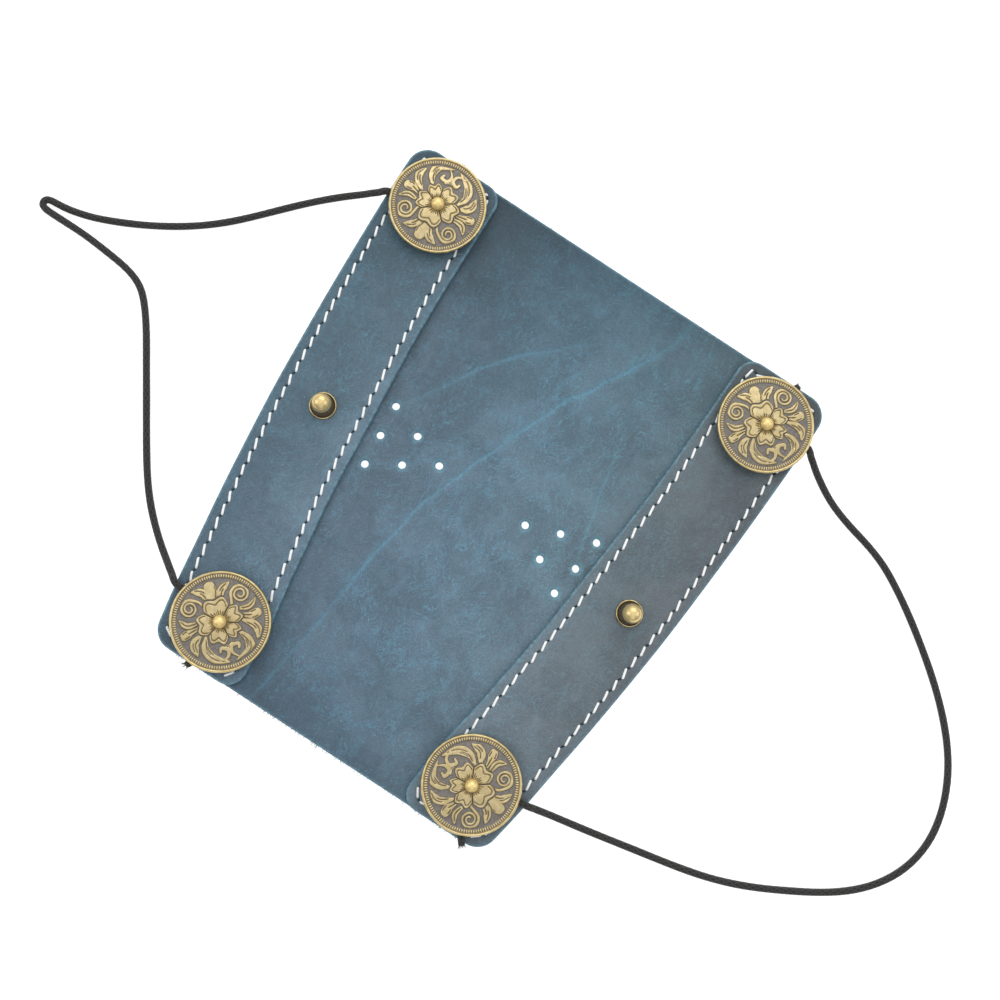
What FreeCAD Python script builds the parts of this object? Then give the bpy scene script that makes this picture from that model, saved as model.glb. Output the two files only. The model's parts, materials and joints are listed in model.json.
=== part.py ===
import FreeCAD, Part
import math
import os

# A leather arm guard: a panel in five stiff strips, a sewn band along each long side, and on
# each side an elastic cord held by two conchos, with a button stud for its loop to hook over.
# Millimetres. Origin at the centre of the panel's underside (flesh side), +X across the arm
# to the right, +Y from the wrist end to the elbow end, +Z out of the grain side.

os.makedirs("parts", exist_ok=True)
Vector = FreeCAD.Vector

SIDE_SIGNS = {"left": -1, "right": 1}     # sign of x
END_SIGNS = {"elbow": 1, "wrist": -1}     # sign of y

# ---------------------------------------------------------------- leather
PANEL_T = 2.5
BAND_T = 2.3
TOP = PANEL_T + BAND_T   # level of the bands' grain side
HALF_LEN = 100.0         # half of the panel's length
CUT_OVER = 1.0           # how far cutting tools run past the leather

# outer edge of the panel and the bands: (y, distance from the centre line)
OUTER = [
    (-100.0, 68.0), (-90.0, 70.05), (-80.0, 71.9), (-65.0, 74.2), (-50.0, 76.55),
    (-33.0, 78.95), (-16.0, 81.1), (0.0, 82.85), (16.0, 84.2), (32.0, 85.45),
    (48.0, 86.5), (64.0, 87.4), (82.0, 88.2), (100.0, 88.5),
]
# inner edge of the bands: (y, distance from the centre line)
INNER = [
    (-100.0, 33.4), (-86.0, 34.9), (-72.0, 36.6), (-58.0, 39.1), (-44.0, 41.2),
    (-23.5, 44.2), (-2.0, 46.3), (19.0, 48.4), (40.5, 50.3), (55.0, 51.1),
    (70.0, 51.7), (85.0, 52.2), (100.0, 52.6),
]
OUTER_CORNER_R = 8.0     # rounding of the panel's and the bands' outer corners
INNER_CORNER_R = 6.5     # rounding of the bands' inner corners

# fold lines: distance from the centre line at the wrist end and at the elbow end
FOLD_INNER = (12.5, 18.0)
FOLD_OUTER = (29.3, 46.3)

VENT_R = 1.4
# centres of the ventilation holes: (x, y)
VENTS = [
    (-18.31, 5.15), (-29.53, -1.88), (-40.75, -8.85),
    (-30.58, 9.76), (-41.80, 2.75), (-42.92, 14.49),
    (18.92, 4.25), (29.91, -3.09), (40.86, -10.31),
    (31.22, 8.62), (42.44, 1.11), (43.75, 12.99),
]

# ---------------------------------------------------------------- seam along each band
SEAM_INSET = 3.9         # seam line from the band's edge
THREAD_W = 0.9
THREAD_PROUD = 0.2       # how far the thread stands above the grain side
THREAD_DEPTH = 0.55      # how deep the thread is bedded in the grain side
BED_CLEAR = 0.05         # clearance of the thread in its bed
LOW_THREAD_Z = 0.05      # underside of the thread on the flesh side
LOW_THREAD_TOP = THREAD_DEPTH + 0.2
SEAM_SAMPLE = 0.4        # spacing of the points sampled along the curved edges
END_STEPS = 90           # steps sampled along each straight end
CORNER_WINDOW = 45       # points at each end of a side searched for its corner
SEAM_STRIDE = 12         # sampled points per interpolated point

# ---------------------------------------------------------------- conchos and screws
CONCHOS = {              # centres (x, y)
    "left_elbow": (-69.8, 82.3), "right_elbow": (71.0, 81.0),
    "left_wrist": (-51.0, -82.0), "right_wrist": (52.0, -81.6),
}
CONCHO_R = 17.5
CONCHO_LIP_R = 0.65      # rounding of the concho's outer lip
CONCHO_UNDER = 7.75      # underside of the concho's rim
POST_R = 3.2             # threaded post on the concho's back
POST_BORE_R = 2.1
SEAT_GAP = 0.02          # conchos and studs above the bands
SCREW_R = 2.05
SCREW_HEAD_R = 4.5
SCREW_HEAD_T = 1.2       # also the stud screws'
SCREW_HEAD_Z = 0.03      # underside of a screw head
HOLE_R = 2.12            # screw hole in the leather
RECESS_R = 4.6           # recess for the screw head, flesh side
RECESS_T = 1.25

# ---------------------------------------------------------------- button studs and screws
STUDS = {"left": (-64.1, 0.0), "right": (66.6, -2.0)}   # centres (x, y)
STUD_Z = TOP + SEAT_GAP
STUD_FLANGE_R = 4.9
STUD_FLANGE_T = 1.2
STUD_NECK_R = 1.9
STUD_BALL_R = 3.5
STUD_BALL_Z = TOP + 7.1
STUD_SCREW_R = 1.25
STUD_SCREW_HEAD_R = 3.6
STUD_BORE_R = STUD_SCREW_R + 0.05
STUD_BORE_DEPTH = 4.6
STUD_SCREW_REACH = 4.3   # screw tip above the stud's underside
STUD_HOLE_R = 1.32
STUD_RECESS_R = 3.7

# ---------------------------------------------------------------- elastic cords
CORD_R = 1.3             # woven cover, outer radius
COVER_IN_R = 0.87        # woven cover, inner radius
CORE_R = 0.82            # rubber core
CORD_GAP = 1.08 * 1.4    # each side of a swing line, the cord is open by this much
CORD_TOP_Z = TOP + 0.24 + CORD_R   # cord centre where it lies on a band
CORD_LOW_Z = CORD_R                # cord centre where it lies on the table
LOOP_END_Z = CORD_LOW_Z + 0.22     # cord centre at the ends of the LOOPS tables
TURN_R = POST_R + 0.75 + CORD_R    # cord centre line round a post
TURN_STEP = 26           # degrees between spline poles round a post
TURN_LEAD = 4            # degrees from the tangent point to the first pole
TURN_LIMIT = 24          # the poles stop before this angle, in degrees

# heights of a cord beside its swing line: (distance from the line, z)
LOOP_RISE = [(CORD_GAP, 4.05), (4.2, 2.45)]
CLAMPED_RISE = [(CORD_GAP, 5.05), (2.6, 6.42), (3.9, 6.55), (5.6, CORD_TOP_Z + 0.02)]

# the points (x, y) where a loop leaves the panel; the line through a pair is its swing line
SWING = {
    "left": {"elbow": (-91.6, 74.7), "wrist": (-75.6, -77.3)},
    "right": {"elbow": (92.6, 80.5), "wrist": (76.2, -76.9)},
}
# centre lines (x, y) of the free loops, from the elbow end round to the wrist end
LOOPS = {
    "left": [
        (-98.7, 69.9), (-107.1, 62.1), (-114.9, 53.6), (-122.4, 44.9), (-130.1, 36.5),
        (-138.7, 29.1), (-148.0, 22.7), (-157.9, 17.1), (-168.1, 12.4), (-172.5, 10.9),
        (-177.5, 9.5), (-182.0, 8.75), (-185.9, 8.6), (-188.2, 7.9), (-188.2, 5.4),
        (-185.9, 4.7), (-182.0, 4.7), (-177.5, 4.75), (-172.5, 4.8), (-167.2, 4.7),
        (-155.8, 3.7), (-150.1, 3.0), (-144.5, 1.4), (-139.6, -1.7), (-132.3, -10.6),
        (-125.9, -20.1), (-119.3, -29.6), (-112.9, -39.0), (-106.4, -48.4), (-99.7, -57.5),
        (-91.9, -65.7), (-83.1, -72.8),
    ],
    "right": [
        (104.4, 73.2), (111.2, 70.5), (118.0, 68.4), (125.1, 66.8), (131.9, 64.7),
        (138.5, 61.9), (150.7, 54.5), (162.3, 46.1), (173.4, 37.3), (183.6, 27.5),
        (192.4, 16.4), (198.4, 3.7), (201.2, -10.1), (198.7, -24.0), (191.1, -36.2),
        (180.1, -45.4), (167.7, -52.4), (155.0, -59.0), (141.8, -64.1), (128.1, -67.4),
        (114.2, -70.0), (100.4, -72.8), (86.6, -75.3),
    ],
}
# where the clamped cord ends stop past the conchos: (x, y) from the post
CORD_TAILS = {
    "left_elbow": (-1.2, 16.5), "right_elbow": (3.1, 18.9),
    "left_wrist": (-1.8, -19.8), "right_wrist": (8.6, -19.2),
}


# ---------------------------------------------------------------- helpers
def export(shape, name):
    shape.exportStep("parts/%s.step" % name)


def interpolated(stations, sign=1):
    """Spline through a table of (y, x), with x times the sign."""
    curve = Part.BSplineCurve()
    curve.interpolate([Vector(sign * x, y, 0) for y, x in stations])
    return curve


def rounded_plate(outer, inner, sign, bottom, thickness, corners):
    """Plate between two (y, x) edge tables, its upright edges near the corners rounded.
    The corners are (x, y, radius)."""
    outer_edge = interpolated(outer, sign).toShape()
    inner_edge = interpolated(inner, sign).toShape()
    wrist_in = inner_edge.valueAt(inner_edge.FirstParameter)
    wrist_out = outer_edge.valueAt(outer_edge.FirstParameter)
    elbow_in = inner_edge.valueAt(inner_edge.LastParameter)
    elbow_out = outer_edge.valueAt(outer_edge.LastParameter)
    edges = [outer_edge, Part.makeLine(elbow_out, elbow_in),
             inner_edge, Part.makeLine(wrist_in, wrist_out)]
    wire = Part.Wire(Part.__sortEdges__(edges))
    solid = Part.Face(wire).extrude(Vector(0, 0, thickness))
    for x, y, radius in corners:
        solid = solid.makeFillet(radius, upright_edges(solid, x, y, 0.5 * thickness))
    solid.translate(Vector(0, 0, bottom))
    return solid


def upright_edges(solid, x, y, min_height):
    """Vertical edges taller than min_height, within 2 mm of (x, y)."""
    found = []
    for edge in solid.Edges:
        start, end = edge.Vertexes[0].Point, edge.Vertexes[-1].Point
        vertical = abs(start.x - end.x) < 1e-6 and abs(start.y - end.y) < 1e-6
        if vertical and abs(start.z - end.z) > min_height:
            if math.hypot(start.x - x, start.y - y) < 2.0:
                found.append(edge)
    return found


def cylinder(x, y, bottom, top, radius):
    return Part.makeCylinder(radius, top - bottom, Vector(x, y, bottom))


def revolve(profile, x, y):
    """Solid of revolution from (radius, z) points about the upright axis through (x, y)."""
    points = [Vector(radius, 0, z) for radius, z in profile]
    face = Part.Face(Part.makePolygon(points + [points[0]]))
    solid = face.revolve(Vector(0, 0, 0), Vector(0, 0, 1), 360)
    solid.translate(Vector(x, y, 0))
    return solid


def arc_points(center_r, center_z, radius, start, end, steps):
    """(radius, z) points of a profile along an arc, with its angles in degrees."""
    angles = [math.radians(start + (end - start) * i / steps) for i in range(steps + 1)]
    return [(center_r + radius * math.cos(angle), center_z + radius * math.sin(angle))
            for angle in angles]


def flat_ring(outer, inner):
    """Flat face between two closed wires."""
    return Part.makeFace([outer, inner], "Part::FaceMakerBullseye")


# ---------------------------------------------------------------- seam
def sampled(stations):
    """Evenly spaced (x, y) points along the spline through a (y, x) table."""
    curve = interpolated(stations)
    count = max(2, int(round(curve.length() / SEAM_SAMPLE)))
    return [(point.x, point.y) for point in curve.discretize(Number=count)]


def straight(start, end):
    """Evenly spaced (x, y) points from start to end."""
    return [(start[0] + (end[0] - start[0]) * i / END_STEPS,
             start[1] + (end[1] - start[1]) * i / END_STEPS) for i in range(END_STEPS + 1)]


def shifted(points, distance):
    """The points moved square to their run, to its left."""
    moved = []
    for i, (x, y) in enumerate(points):
        before = points[max(0, i - 1)]
        after = points[min(len(points) - 1, i + 1)]
        run_x, run_y = after[0] - before[0], after[1] - before[1]
        length = math.hypot(run_x, run_y)
        moved.append((x - run_y / length * distance, y + run_x / length * distance))
    return moved


def seam_points(inset):
    """Points of a closed curve at one inset from the right band's edge, counterclockwise,
    with its corners concentric with the band's."""
    outer = sampled(OUTER)
    inner = sampled(INNER)[::-1]
    sides = [outer, straight(outer[-1], inner[0]), inner, straight(inner[-1], outer[0])]
    radii = [OUTER_CORNER_R, INNER_CORNER_R, INNER_CORNER_R, OUTER_CORNER_R]

    # a corner's centre is where its two sides, moved in by its radius, come closest
    first, last, centers = [0] * 4, [0] * 4, []
    for k in range(4):
        following = (k + 1) % 4
        arriving = shifted(sides[k], radii[k])
        leaving = shifted(sides[following], radii[k])
        _, last[k], first[following] = min(
            ((arriving[i][0] - leaving[j][0]) ** 2 + (arriving[i][1] - leaving[j][1]) ** 2, i, j)
            for i in range(len(arriving) - CORNER_WINDOW, len(arriving))
            for j in range(CORNER_WINDOW))
        near, far = arriving[last[k]], leaving[first[following]]
        centers.append(((near[0] + far[0]) / 2, (near[1] + far[1]) / 2))

    inset_sides = [shifted(side, inset) for side in sides]
    points = []
    for k in range(4):
        run = inset_sides[k][first[k]:last[k] + 1]
        count = max(2, int((len(run) - 1) / SEAM_STRIDE))
        points += [run[int(round((len(run) - 1) * i / count))] for i in range(count + 1)]
        x, y = centers[k]
        radius = radii[k] - inset
        arc_start = points[-1]
        arc_end = inset_sides[(k + 1) % 4][first[(k + 1) % 4]]
        start = math.atan2(arc_start[1] - y, arc_start[0] - x)
        end = math.atan2(arc_end[1] - y, arc_end[0] - x)
        while end < start:
            end += 2 * math.pi
        for fraction in (0.25, 0.5, 0.75):
            angle = start + (end - start) * fraction
            points.append((x + radius * math.cos(angle), y + radius * math.sin(angle)))
    return points


def seam_wire(sign, inset):
    curve = Part.BSplineCurve()
    curve.interpolate(Points=[Vector(sign * x, y, 0) for x, y in seam_points(inset)],
                      PeriodicFlag=True)
    return Part.Wire([curve.toShape()])


def seam_ring(sign, width, bottom, top):
    """Solid of one width that follows a band's seam all the way round."""
    face = flat_ring(seam_wire(sign, SEAM_INSET - width / 2),
                     seam_wire(sign, SEAM_INSET + width / 2))
    solid = face.extrude(Vector(0, 0, top - bottom))
    solid.translate(Vector(0, 0, bottom))
    return solid


def make_thread(sign):
    """The thread's runs on the grain side and on the flesh side."""
    top_run = seam_ring(sign, THREAD_W, TOP - THREAD_DEPTH, TOP + THREAD_PROUD)
    low_run = seam_ring(sign, THREAD_W, LOW_THREAD_Z, LOW_THREAD_TOP)
    return Part.makeCompound(top_run.Solids + low_run.Solids)


# ---------------------------------------------------------------- leather
BED_W = THREAD_W + 2 * BED_CLEAR


def cut_screw_seat(panel, x, y, hole_r, recess_r):
    panel = panel.cut(cylinder(x, y, -CUT_OVER, PANEL_T + CUT_OVER, hole_r))
    return panel.cut(cylinder(x, y, -CUT_OVER, RECESS_T, recess_r))


def make_panel():
    """The whole panel, before it is split at the folds."""
    corners = [(sign * stations[1], stations[0], OUTER_CORNER_R)
               for stations in (OUTER[0], OUTER[-1]) for sign in (1, -1)]
    mirrored = [(y, -x) for y, x in OUTER]
    panel = rounded_plate(OUTER, mirrored, 1, 0, PANEL_T, corners)
    for x, y in VENTS:
        panel = panel.cut(cylinder(x, y, -CUT_OVER, PANEL_T + CUT_OVER, VENT_R))
    for x, y in CONCHOS.values():
        panel = cut_screw_seat(panel, x, y, HOLE_R, RECESS_R)
    for x, y in STUDS.values():
        panel = cut_screw_seat(panel, x, y, STUD_HOLE_R, STUD_RECESS_R)
    for sign in SIDE_SIGNS.values():
        panel = panel.cut(seam_ring(sign, BED_W, -CUT_OVER, LOW_THREAD_TOP + BED_CLEAR))
    return panel


def make_band(name, sign):
    corners = [(sign * edge[end][1], edge[end][0], radius)
               for edge, radius in ((OUTER, OUTER_CORNER_R), (INNER, INNER_CORNER_R))
               for end in (0, -1)]
    band = rounded_plate(OUTER, INNER, sign, PANEL_T, BAND_T, corners)
    band = band.cut(seam_ring(sign, BED_W, TOP - THREAD_DEPTH - BED_CLEAR, TOP + CUT_OVER))
    for end in END_SIGNS:
        x, y = CONCHOS["%s_%s" % (name, end)]
        band = band.cut(cylinder(x, y, 0, TOP + CUT_OVER, HOLE_R))
    x, y = STUDS[name]
    band = band.cut(cylinder(x, y, 0, TOP + CUT_OVER, STUD_HOLE_R))
    return band.Solids[0]


def beside_fold(fold, sign, away):
    """Tall prism on one side of a fold line. away is +1 for the part away from the centre
    line and -1 for the part towards it."""
    reach = 300.0 * away
    overrun = 60.0
    slope = (fold[1] - fold[0]) / (2 * HALF_LEN)
    wrist_x, elbow_x = fold[0] - slope * overrun, fold[1] + slope * overrun
    end_y = HALF_LEN + overrun
    points = [Vector(sign * wrist_x, -end_y, -5), Vector(sign * elbow_x, end_y, -5),
              Vector(sign * (elbow_x + reach), end_y, -5),
              Vector(sign * (wrist_x + reach), -end_y, -5)]
    return Part.Face(Part.makePolygon(points + [points[0]])).extrude(Vector(0, 0, 20))


def export_panel_strips(panel):
    """The one sheet bends along four lines; each stiff length between them is a strip."""
    center = panel
    for name, sign in SIDE_SIGNS.items():
        between = beside_fold(FOLD_INNER, sign, 1).common(beside_fold(FOLD_OUTER, sign, -1))
        export(panel.common(between).Solids[0], "panel_%s_inner" % name)
        flank = panel.common(beside_fold(FOLD_OUTER, sign, 1))
        export(flank.Solids[0], "panel_%s_flank" % name)
        center = center.common(beside_fold(FOLD_INNER, sign, -1))
    export(center.Solids[0], "panel_center")


# ---------------------------------------------------------------- conchos, studs and screws
def make_concho(x, y):
    """Rosette with a bored post on its back."""
    under = CONCHO_UNDER
    bore_top = under + 1.6
    profile = (
        # post and underside, outwards
        [(POST_BORE_R, TOP + SEAT_GAP), (POST_R, TOP + SEAT_GAP), (POST_R, under + 1.1),
         (12.5, under + 0.75), (14.8, under + 0.2), (15.2, under), (16.9, under)]
        # lip
        + arc_points(CONCHO_R - CONCHO_LIP_R, under + 0.9, CONCHO_LIP_R, -60, 110, 8)
        # face, inwards
        + [(16.2, under + 1.35), (14.0, under + 1.75), (13.3, under + 1.95),
           (12.6, under + 1.35), (8.0, under + 2.0), (3.6, under + 2.5), (2.6, under + 2.6)]
        # central dome
        + arc_points(0, under + 2.55, 2.35, 8, 90, 8)
        + [(0, bore_top), (POST_BORE_R, bore_top)]
    )
    return revolve(profile, x, y)


def make_stud(x, y):
    """Ball on a neck and a flange, bored from below."""
    rim = STUD_FLANGE_R
    bottom, top = STUD_Z, STUD_Z + STUD_FLANGE_T
    bore_top = bottom + STUD_BORE_DEPTH
    # the ball starts where it meets the neck
    ball_drop = math.sqrt(STUD_BALL_R ** 2 - STUD_NECK_R ** 2)
    ball_start = -math.degrees(math.atan2(ball_drop, STUD_NECK_R))
    profile = (
        [(STUD_BORE_R, bottom), (rim - 0.15, bottom), (rim, bottom + 0.2), (rim, top - 0.3),
         (rim - 0.3, top), (rim - 0.9, top), (rim - 1.3, top - 0.35),
         (STUD_NECK_R + 0.9, top - 0.45), (STUD_NECK_R + 0.25, top - 0.15),
         (STUD_NECK_R, top + 0.5)]
        + arc_points(0, STUD_BALL_Z, STUD_BALL_R, ball_start, 90, 16)
        + [(0, bore_top), (STUD_BORE_R, bore_top)]
    )
    return revolve(profile, x, y)


def make_screw(x, y, head_r, shank_r, tip_z, slot_w, slot_top):
    """Upright screw with its slotted head at the bottom."""
    head = cylinder(x, y, SCREW_HEAD_Z, SCREW_HEAD_Z + SCREW_HEAD_T, head_r)
    shank = cylinder(x, y, SCREW_HEAD_T, tip_z, shank_r)
    slot_bottom = -0.1
    slot = Part.makeBox(2 * head_r + 2, slot_w, slot_top - slot_bottom,
                        Vector(x - head_r - 1, y - slot_w / 2, slot_bottom))
    return head.fuse(shank).cut(slot).removeSplitter()


# ---------------------------------------------------------------- elastic cords
def cord_frames(guide):
    """Placements square to the guide curve, closer together where it turns sharply."""
    length, stations, distance = guide.length(), [0.0], 0.0
    while True:
        bend_r = 1.0 / max(guide.curvature(guide.parameterAtDistance(distance)), 1e-6)
        distance += max(0.8, min(6.0, 0.4 * bend_r))
        if distance > length - 0.8:
            break
        stations.append(distance)
    stations.append(length)
    frames = []
    for distance in stations:
        parameter = guide.parameterAtDistance(distance)
        origin = guide.value(parameter)
        along = Vector(*guide.tangent(parameter)[0]).normalize()
        side = Vector(0, 0, 1).cross(along).normalize()
        above = along.cross(side)
        frames.append(FreeCAD.Placement(FreeCAD.Matrix(
            side.x, above.x, along.x, origin.x,
            side.y, above.y, along.y, origin.y,
            side.z, above.z, along.z, origin.z,
            0, 0, 0, 1)))
    return frames


def circles(frames, radius):
    wires = []
    for frame in frames:
        edge = Part.makeCircle(radius)
        edge.Placement = frame
        wires.append(Part.Wire([edge]))
    return wires


def export_cord(poles, name):
    """A length of cord: a woven cover as a tube, and the rubber core inside it."""
    guide = Part.BSplineCurve()
    guide.buildFromPoles([Vector(*pole) for pole in poles], False, 3)
    frames = cord_frames(guide)
    outer, inner = circles(frames, CORD_R), circles(frames, COVER_IN_R)
    skins = [Part.makeLoft(wires, False, True) for wires in (outer, inner)]
    caps = [flat_ring(outer[k], inner[k]) for k in (0, -1)]
    shell = Part.makeShell([face for part in skins + caps for face in part.Faces])
    shell.sewShape(1e-4)
    cover = Part.makeSolid(shell)
    # the sewn shell may face inwards
    if cover.Volume < 0:
        cover.reverse()
    export(cover, name)
    export(Part.makeLoft(circles(frames, CORE_R), True, True), name + "_core")


def towards(start, target, distance, z):
    """Point at height z, a distance from start towards target (away from it if negative)."""
    run_x, run_y = target[0] - start[0], target[1] - start[1]
    length = math.hypot(run_x, run_y)
    return (start[0] + run_x / length * distance, start[1] + run_y / length * distance, z)


def thirds(start, end):
    """The two points that divide a run on the band in three."""
    return [((2 * start[0] + end[0]) / 3, (2 * start[1] + end[1]) / 3, CORD_TOP_Z),
            ((start[0] + 2 * end[0]) / 3, (start[1] + 2 * end[1]) / 3, CORD_TOP_Z)]


def loop_poles(name):
    """The free loop drops from the swing line to the table, and rises back to it."""
    loop = [(x, y, CORD_LOW_Z) for x, y in LOOPS[name]]
    loop[0], loop[-1] = loop[0][:2] + (LOOP_END_Z,), loop[-1][:2] + (LOOP_END_Z,)
    drop = [towards(SWING[name]["elbow"], loop[0], distance, z) for distance, z in LOOP_RISE]
    rise = [towards(SWING[name]["wrist"], loop[-1], distance, z) for distance, z in LOOP_RISE]
    return drop + loop + rise[::-1]


def clamped_poles(name, end):
    """A clamped cord end runs inwards from the swing line to the post, round the post's
    inner side, and out past the panel's end."""
    side_sign, end_sign = SIDE_SIGNS[name], END_SIGNS[end]
    post_x, post_y = CONCHOS["%s_%s" % (name, end)]
    loop_end = LOOPS[name][0 if end == "elbow" else -1]
    lead = [towards(SWING[name][end], loop_end, -distance, z) for distance, z in CLAMPED_RISE]

    # angles round the post run from the centre line's side towards the panel's end; the turn
    # starts at the tangent from the lead's last point
    inward = -side_sign * (lead[-1][0] - post_x)
    endward = end_sign * (lead[-1][1] - post_y)
    tangent = math.acos(TURN_R / math.hypot(inward, endward))
    start = math.degrees(math.atan2(endward, inward) + tangent)
    if endward > 0:
        start -= 360
    # the poles stand outside the turn, so that the cubic spline itself keeps to its radius
    pole_r = TURN_R * 6 / (4 + 2 * math.cos(math.radians(TURN_STEP)))
    wrap, degrees = [], start + TURN_LEAD
    while degrees < TURN_LIMIT:
        angle = math.radians(degrees)
        wrap.append((post_x - side_sign * pole_r * math.cos(angle),
                     post_y + end_sign * pole_r * math.sin(angle), CORD_TOP_Z))
        degrees += TURN_STEP

    tail_x, tail_y = CORD_TAILS["%s_%s" % (name, end)]
    tail_end = (post_x + tail_x, post_y + tail_y, CORD_TOP_Z)
    return lead + thirds(lead[-1], wrap[0]) + wrap + thirds(wrap[-1], tail_end) + [tail_end]


# ---------------------------------------------------------------- all the pieces
export_panel_strips(make_panel())

for name, sign in SIDE_SIGNS.items():
    export(make_band(name, sign), "%s_band" % name)
    export(make_thread(sign), "%s_band_thread" % name)

for name, (x, y) in CONCHOS.items():
    export(make_concho(x, y), "%s_concho" % name)
    screw = make_screw(x, y, head_r=SCREW_HEAD_R, shank_r=SCREW_R,
                       tip_z=CONCHO_UNDER + 1.2, slot_w=0.9, slot_top=0.65)
    export(screw, "%s_concho_screw" % name)

for name, (x, y) in STUDS.items():
    export(make_stud(x, y), "%s_stud" % name)
    screw = make_screw(x, y, head_r=STUD_SCREW_HEAD_R, shank_r=STUD_SCREW_R,
                       tip_z=STUD_Z + STUD_SCREW_REACH, slot_w=0.8, slot_top=0.55)
    export(screw, "%s_stud_screw" % name)

for name in SIDE_SIGNS:
    export_cord(loop_poles(name), "%s_cord_loop" % name)
    for end in END_SIGNS:
        export_cord(clamped_poles(name, end), "%s_cord_%s_end" % (name, end))
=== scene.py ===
import json
import math

import bpy
import numpy as np
from mathutils import Matrix, Vector
from mathutils.geometry import delaunay_2d_cdt

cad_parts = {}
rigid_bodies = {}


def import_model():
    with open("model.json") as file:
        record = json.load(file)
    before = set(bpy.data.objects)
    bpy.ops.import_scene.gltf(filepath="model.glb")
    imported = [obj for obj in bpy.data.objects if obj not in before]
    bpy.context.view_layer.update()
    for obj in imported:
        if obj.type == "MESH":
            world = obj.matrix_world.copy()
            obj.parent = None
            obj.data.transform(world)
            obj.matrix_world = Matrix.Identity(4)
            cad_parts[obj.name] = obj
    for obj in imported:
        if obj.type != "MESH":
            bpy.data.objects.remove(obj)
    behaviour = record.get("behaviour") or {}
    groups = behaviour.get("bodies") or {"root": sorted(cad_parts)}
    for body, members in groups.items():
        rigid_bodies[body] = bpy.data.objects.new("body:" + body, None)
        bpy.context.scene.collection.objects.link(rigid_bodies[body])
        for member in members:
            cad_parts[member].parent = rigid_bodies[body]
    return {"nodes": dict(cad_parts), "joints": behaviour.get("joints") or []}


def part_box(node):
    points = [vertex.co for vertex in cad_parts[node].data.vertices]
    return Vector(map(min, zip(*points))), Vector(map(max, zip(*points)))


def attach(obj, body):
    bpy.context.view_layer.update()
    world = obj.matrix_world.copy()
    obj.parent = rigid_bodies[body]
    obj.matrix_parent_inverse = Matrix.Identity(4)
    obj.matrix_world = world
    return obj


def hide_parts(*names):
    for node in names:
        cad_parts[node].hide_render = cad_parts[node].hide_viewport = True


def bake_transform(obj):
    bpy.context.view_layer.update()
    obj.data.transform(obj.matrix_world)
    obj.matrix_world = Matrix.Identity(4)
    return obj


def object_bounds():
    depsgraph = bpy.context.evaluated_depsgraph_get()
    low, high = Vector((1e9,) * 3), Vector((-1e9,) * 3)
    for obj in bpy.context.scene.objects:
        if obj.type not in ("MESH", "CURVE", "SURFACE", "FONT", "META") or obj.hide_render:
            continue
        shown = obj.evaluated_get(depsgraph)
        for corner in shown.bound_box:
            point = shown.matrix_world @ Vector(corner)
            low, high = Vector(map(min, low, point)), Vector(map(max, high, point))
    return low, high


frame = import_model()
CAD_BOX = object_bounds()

# The work below is in millimetres in the frame's own axes; meshes are written in metres.
MM = 0.001
RNG = np.random.default_rng(20260)


def mm_box(node):
    lo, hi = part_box(node)
    return np.array(lo) * 1000, np.array(hi) * 1000


def middle(node):
    lo, hi = mm_box(node)
    return (lo + hi) / 2


# ---------------------------------------------------------------- places taken from the frame
band_lo, band_hi = mm_box("left_band")
panel_lo, panel_hi = mm_box("panel_center")
LEVEL = round(float(panel_hi[2]), 3)              # grain side of the panel
TOP = round(float(band_hi[2]), 3)                 # grain side of the bands
END = float(panel_hi[1])                          # half length
CONCHO = {k: middle("%s_concho" % k) for k in ("left_elbow", "right_elbow", "left_wrist", "right_wrist")}
STUD = {k: middle("%s_stud" % k) for k in ("left", "right")}
UNDER = float(mm_box("left_elbow_concho")[1][2]) - 4.9
JOINT = {j["name"]: j for j in frame["joints"]}

# half-width of the panel and distance of a band's inner edge from the centre line, along Y
SIDE = [
    (-100.0, 68.0), (-90.0, 70.05), (-80.0, 71.9), (-65.0, 74.2), (-50.0, 76.55),
    (-33.0, 78.95), (-16.0, 81.1), (0.0, 82.85), (16.0, 84.2), (32.0, 85.45),
    (48.0, 86.5), (64.0, 87.4), (82.0, 88.2), (100.0, 88.5),
]
INNER = [
    (-100.0, 33.4), (-86.0, 34.9), (-72.0, 36.6), (-58.0, 39.1), (-44.0, 41.2), (-23.5, 44.2),
    (-2.0, 46.3), (19.0, 48.4), (40.5, 50.3), (55.0, 51.1), (70.0, 51.7), (85.0, 52.2), (100.0, 52.6),
]
OUTER_R, INNER_R = 8.0, 6.5
FOLD_IN, FOLD_OUT = (12.5, 18.0), (29.3, 46.3)
SEAM_LINE = ((FOLD_IN[0] + FOLD_OUT[0]) / 2, (FOLD_IN[1] + FOLD_OUT[1]) / 2)
VENT_R = 1.4
VENTS = [
    (-18.31, 5.15), (-29.53, -1.88), (-40.75, -8.85), (-30.58, 9.76), (-41.80, 2.75), (-42.92, 14.49),
    (18.92, 4.25), (29.91, -3.09), (40.86, -10.31), (31.22, 8.62), (42.44, 1.11), (43.75, 12.99),
]
SEAM_INSET = 3.9
CREASES = [
    ([(30, 97.5), (27.5, 85), (15, 62.5), (5, 46), (-2.5, 27.5), (-8.75, 10), (-13.75, -2.5), (-17.5, -17.5),
      (-20.75, -35), (-22, -55), (-25, -77.5), (-28.75, -100)], 1.0, 1.5),
    ([(-42.5, 16), (-35, 25), (-22.5, 47.5), (-10, 60), (2.5, 72.5)], 0.75, 1.5),
    ([(30, 57.5), (32.5, 40), (37.5, 20), (41, 2)], 0.6, 1.6),
    ([(-44, 84), (-35, 75), (-27, 62)], 0.35, 1.8),
    ([(46, -25), (40, -31), (34, -42)], 0.4, 1.7),
    ([(27, -60), (20, -67.5), (15, -82)], 0.35, 1.8),
    ([(18, 93), (25, 80), (33, 74)], 0.35, 1.8),
]


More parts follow.
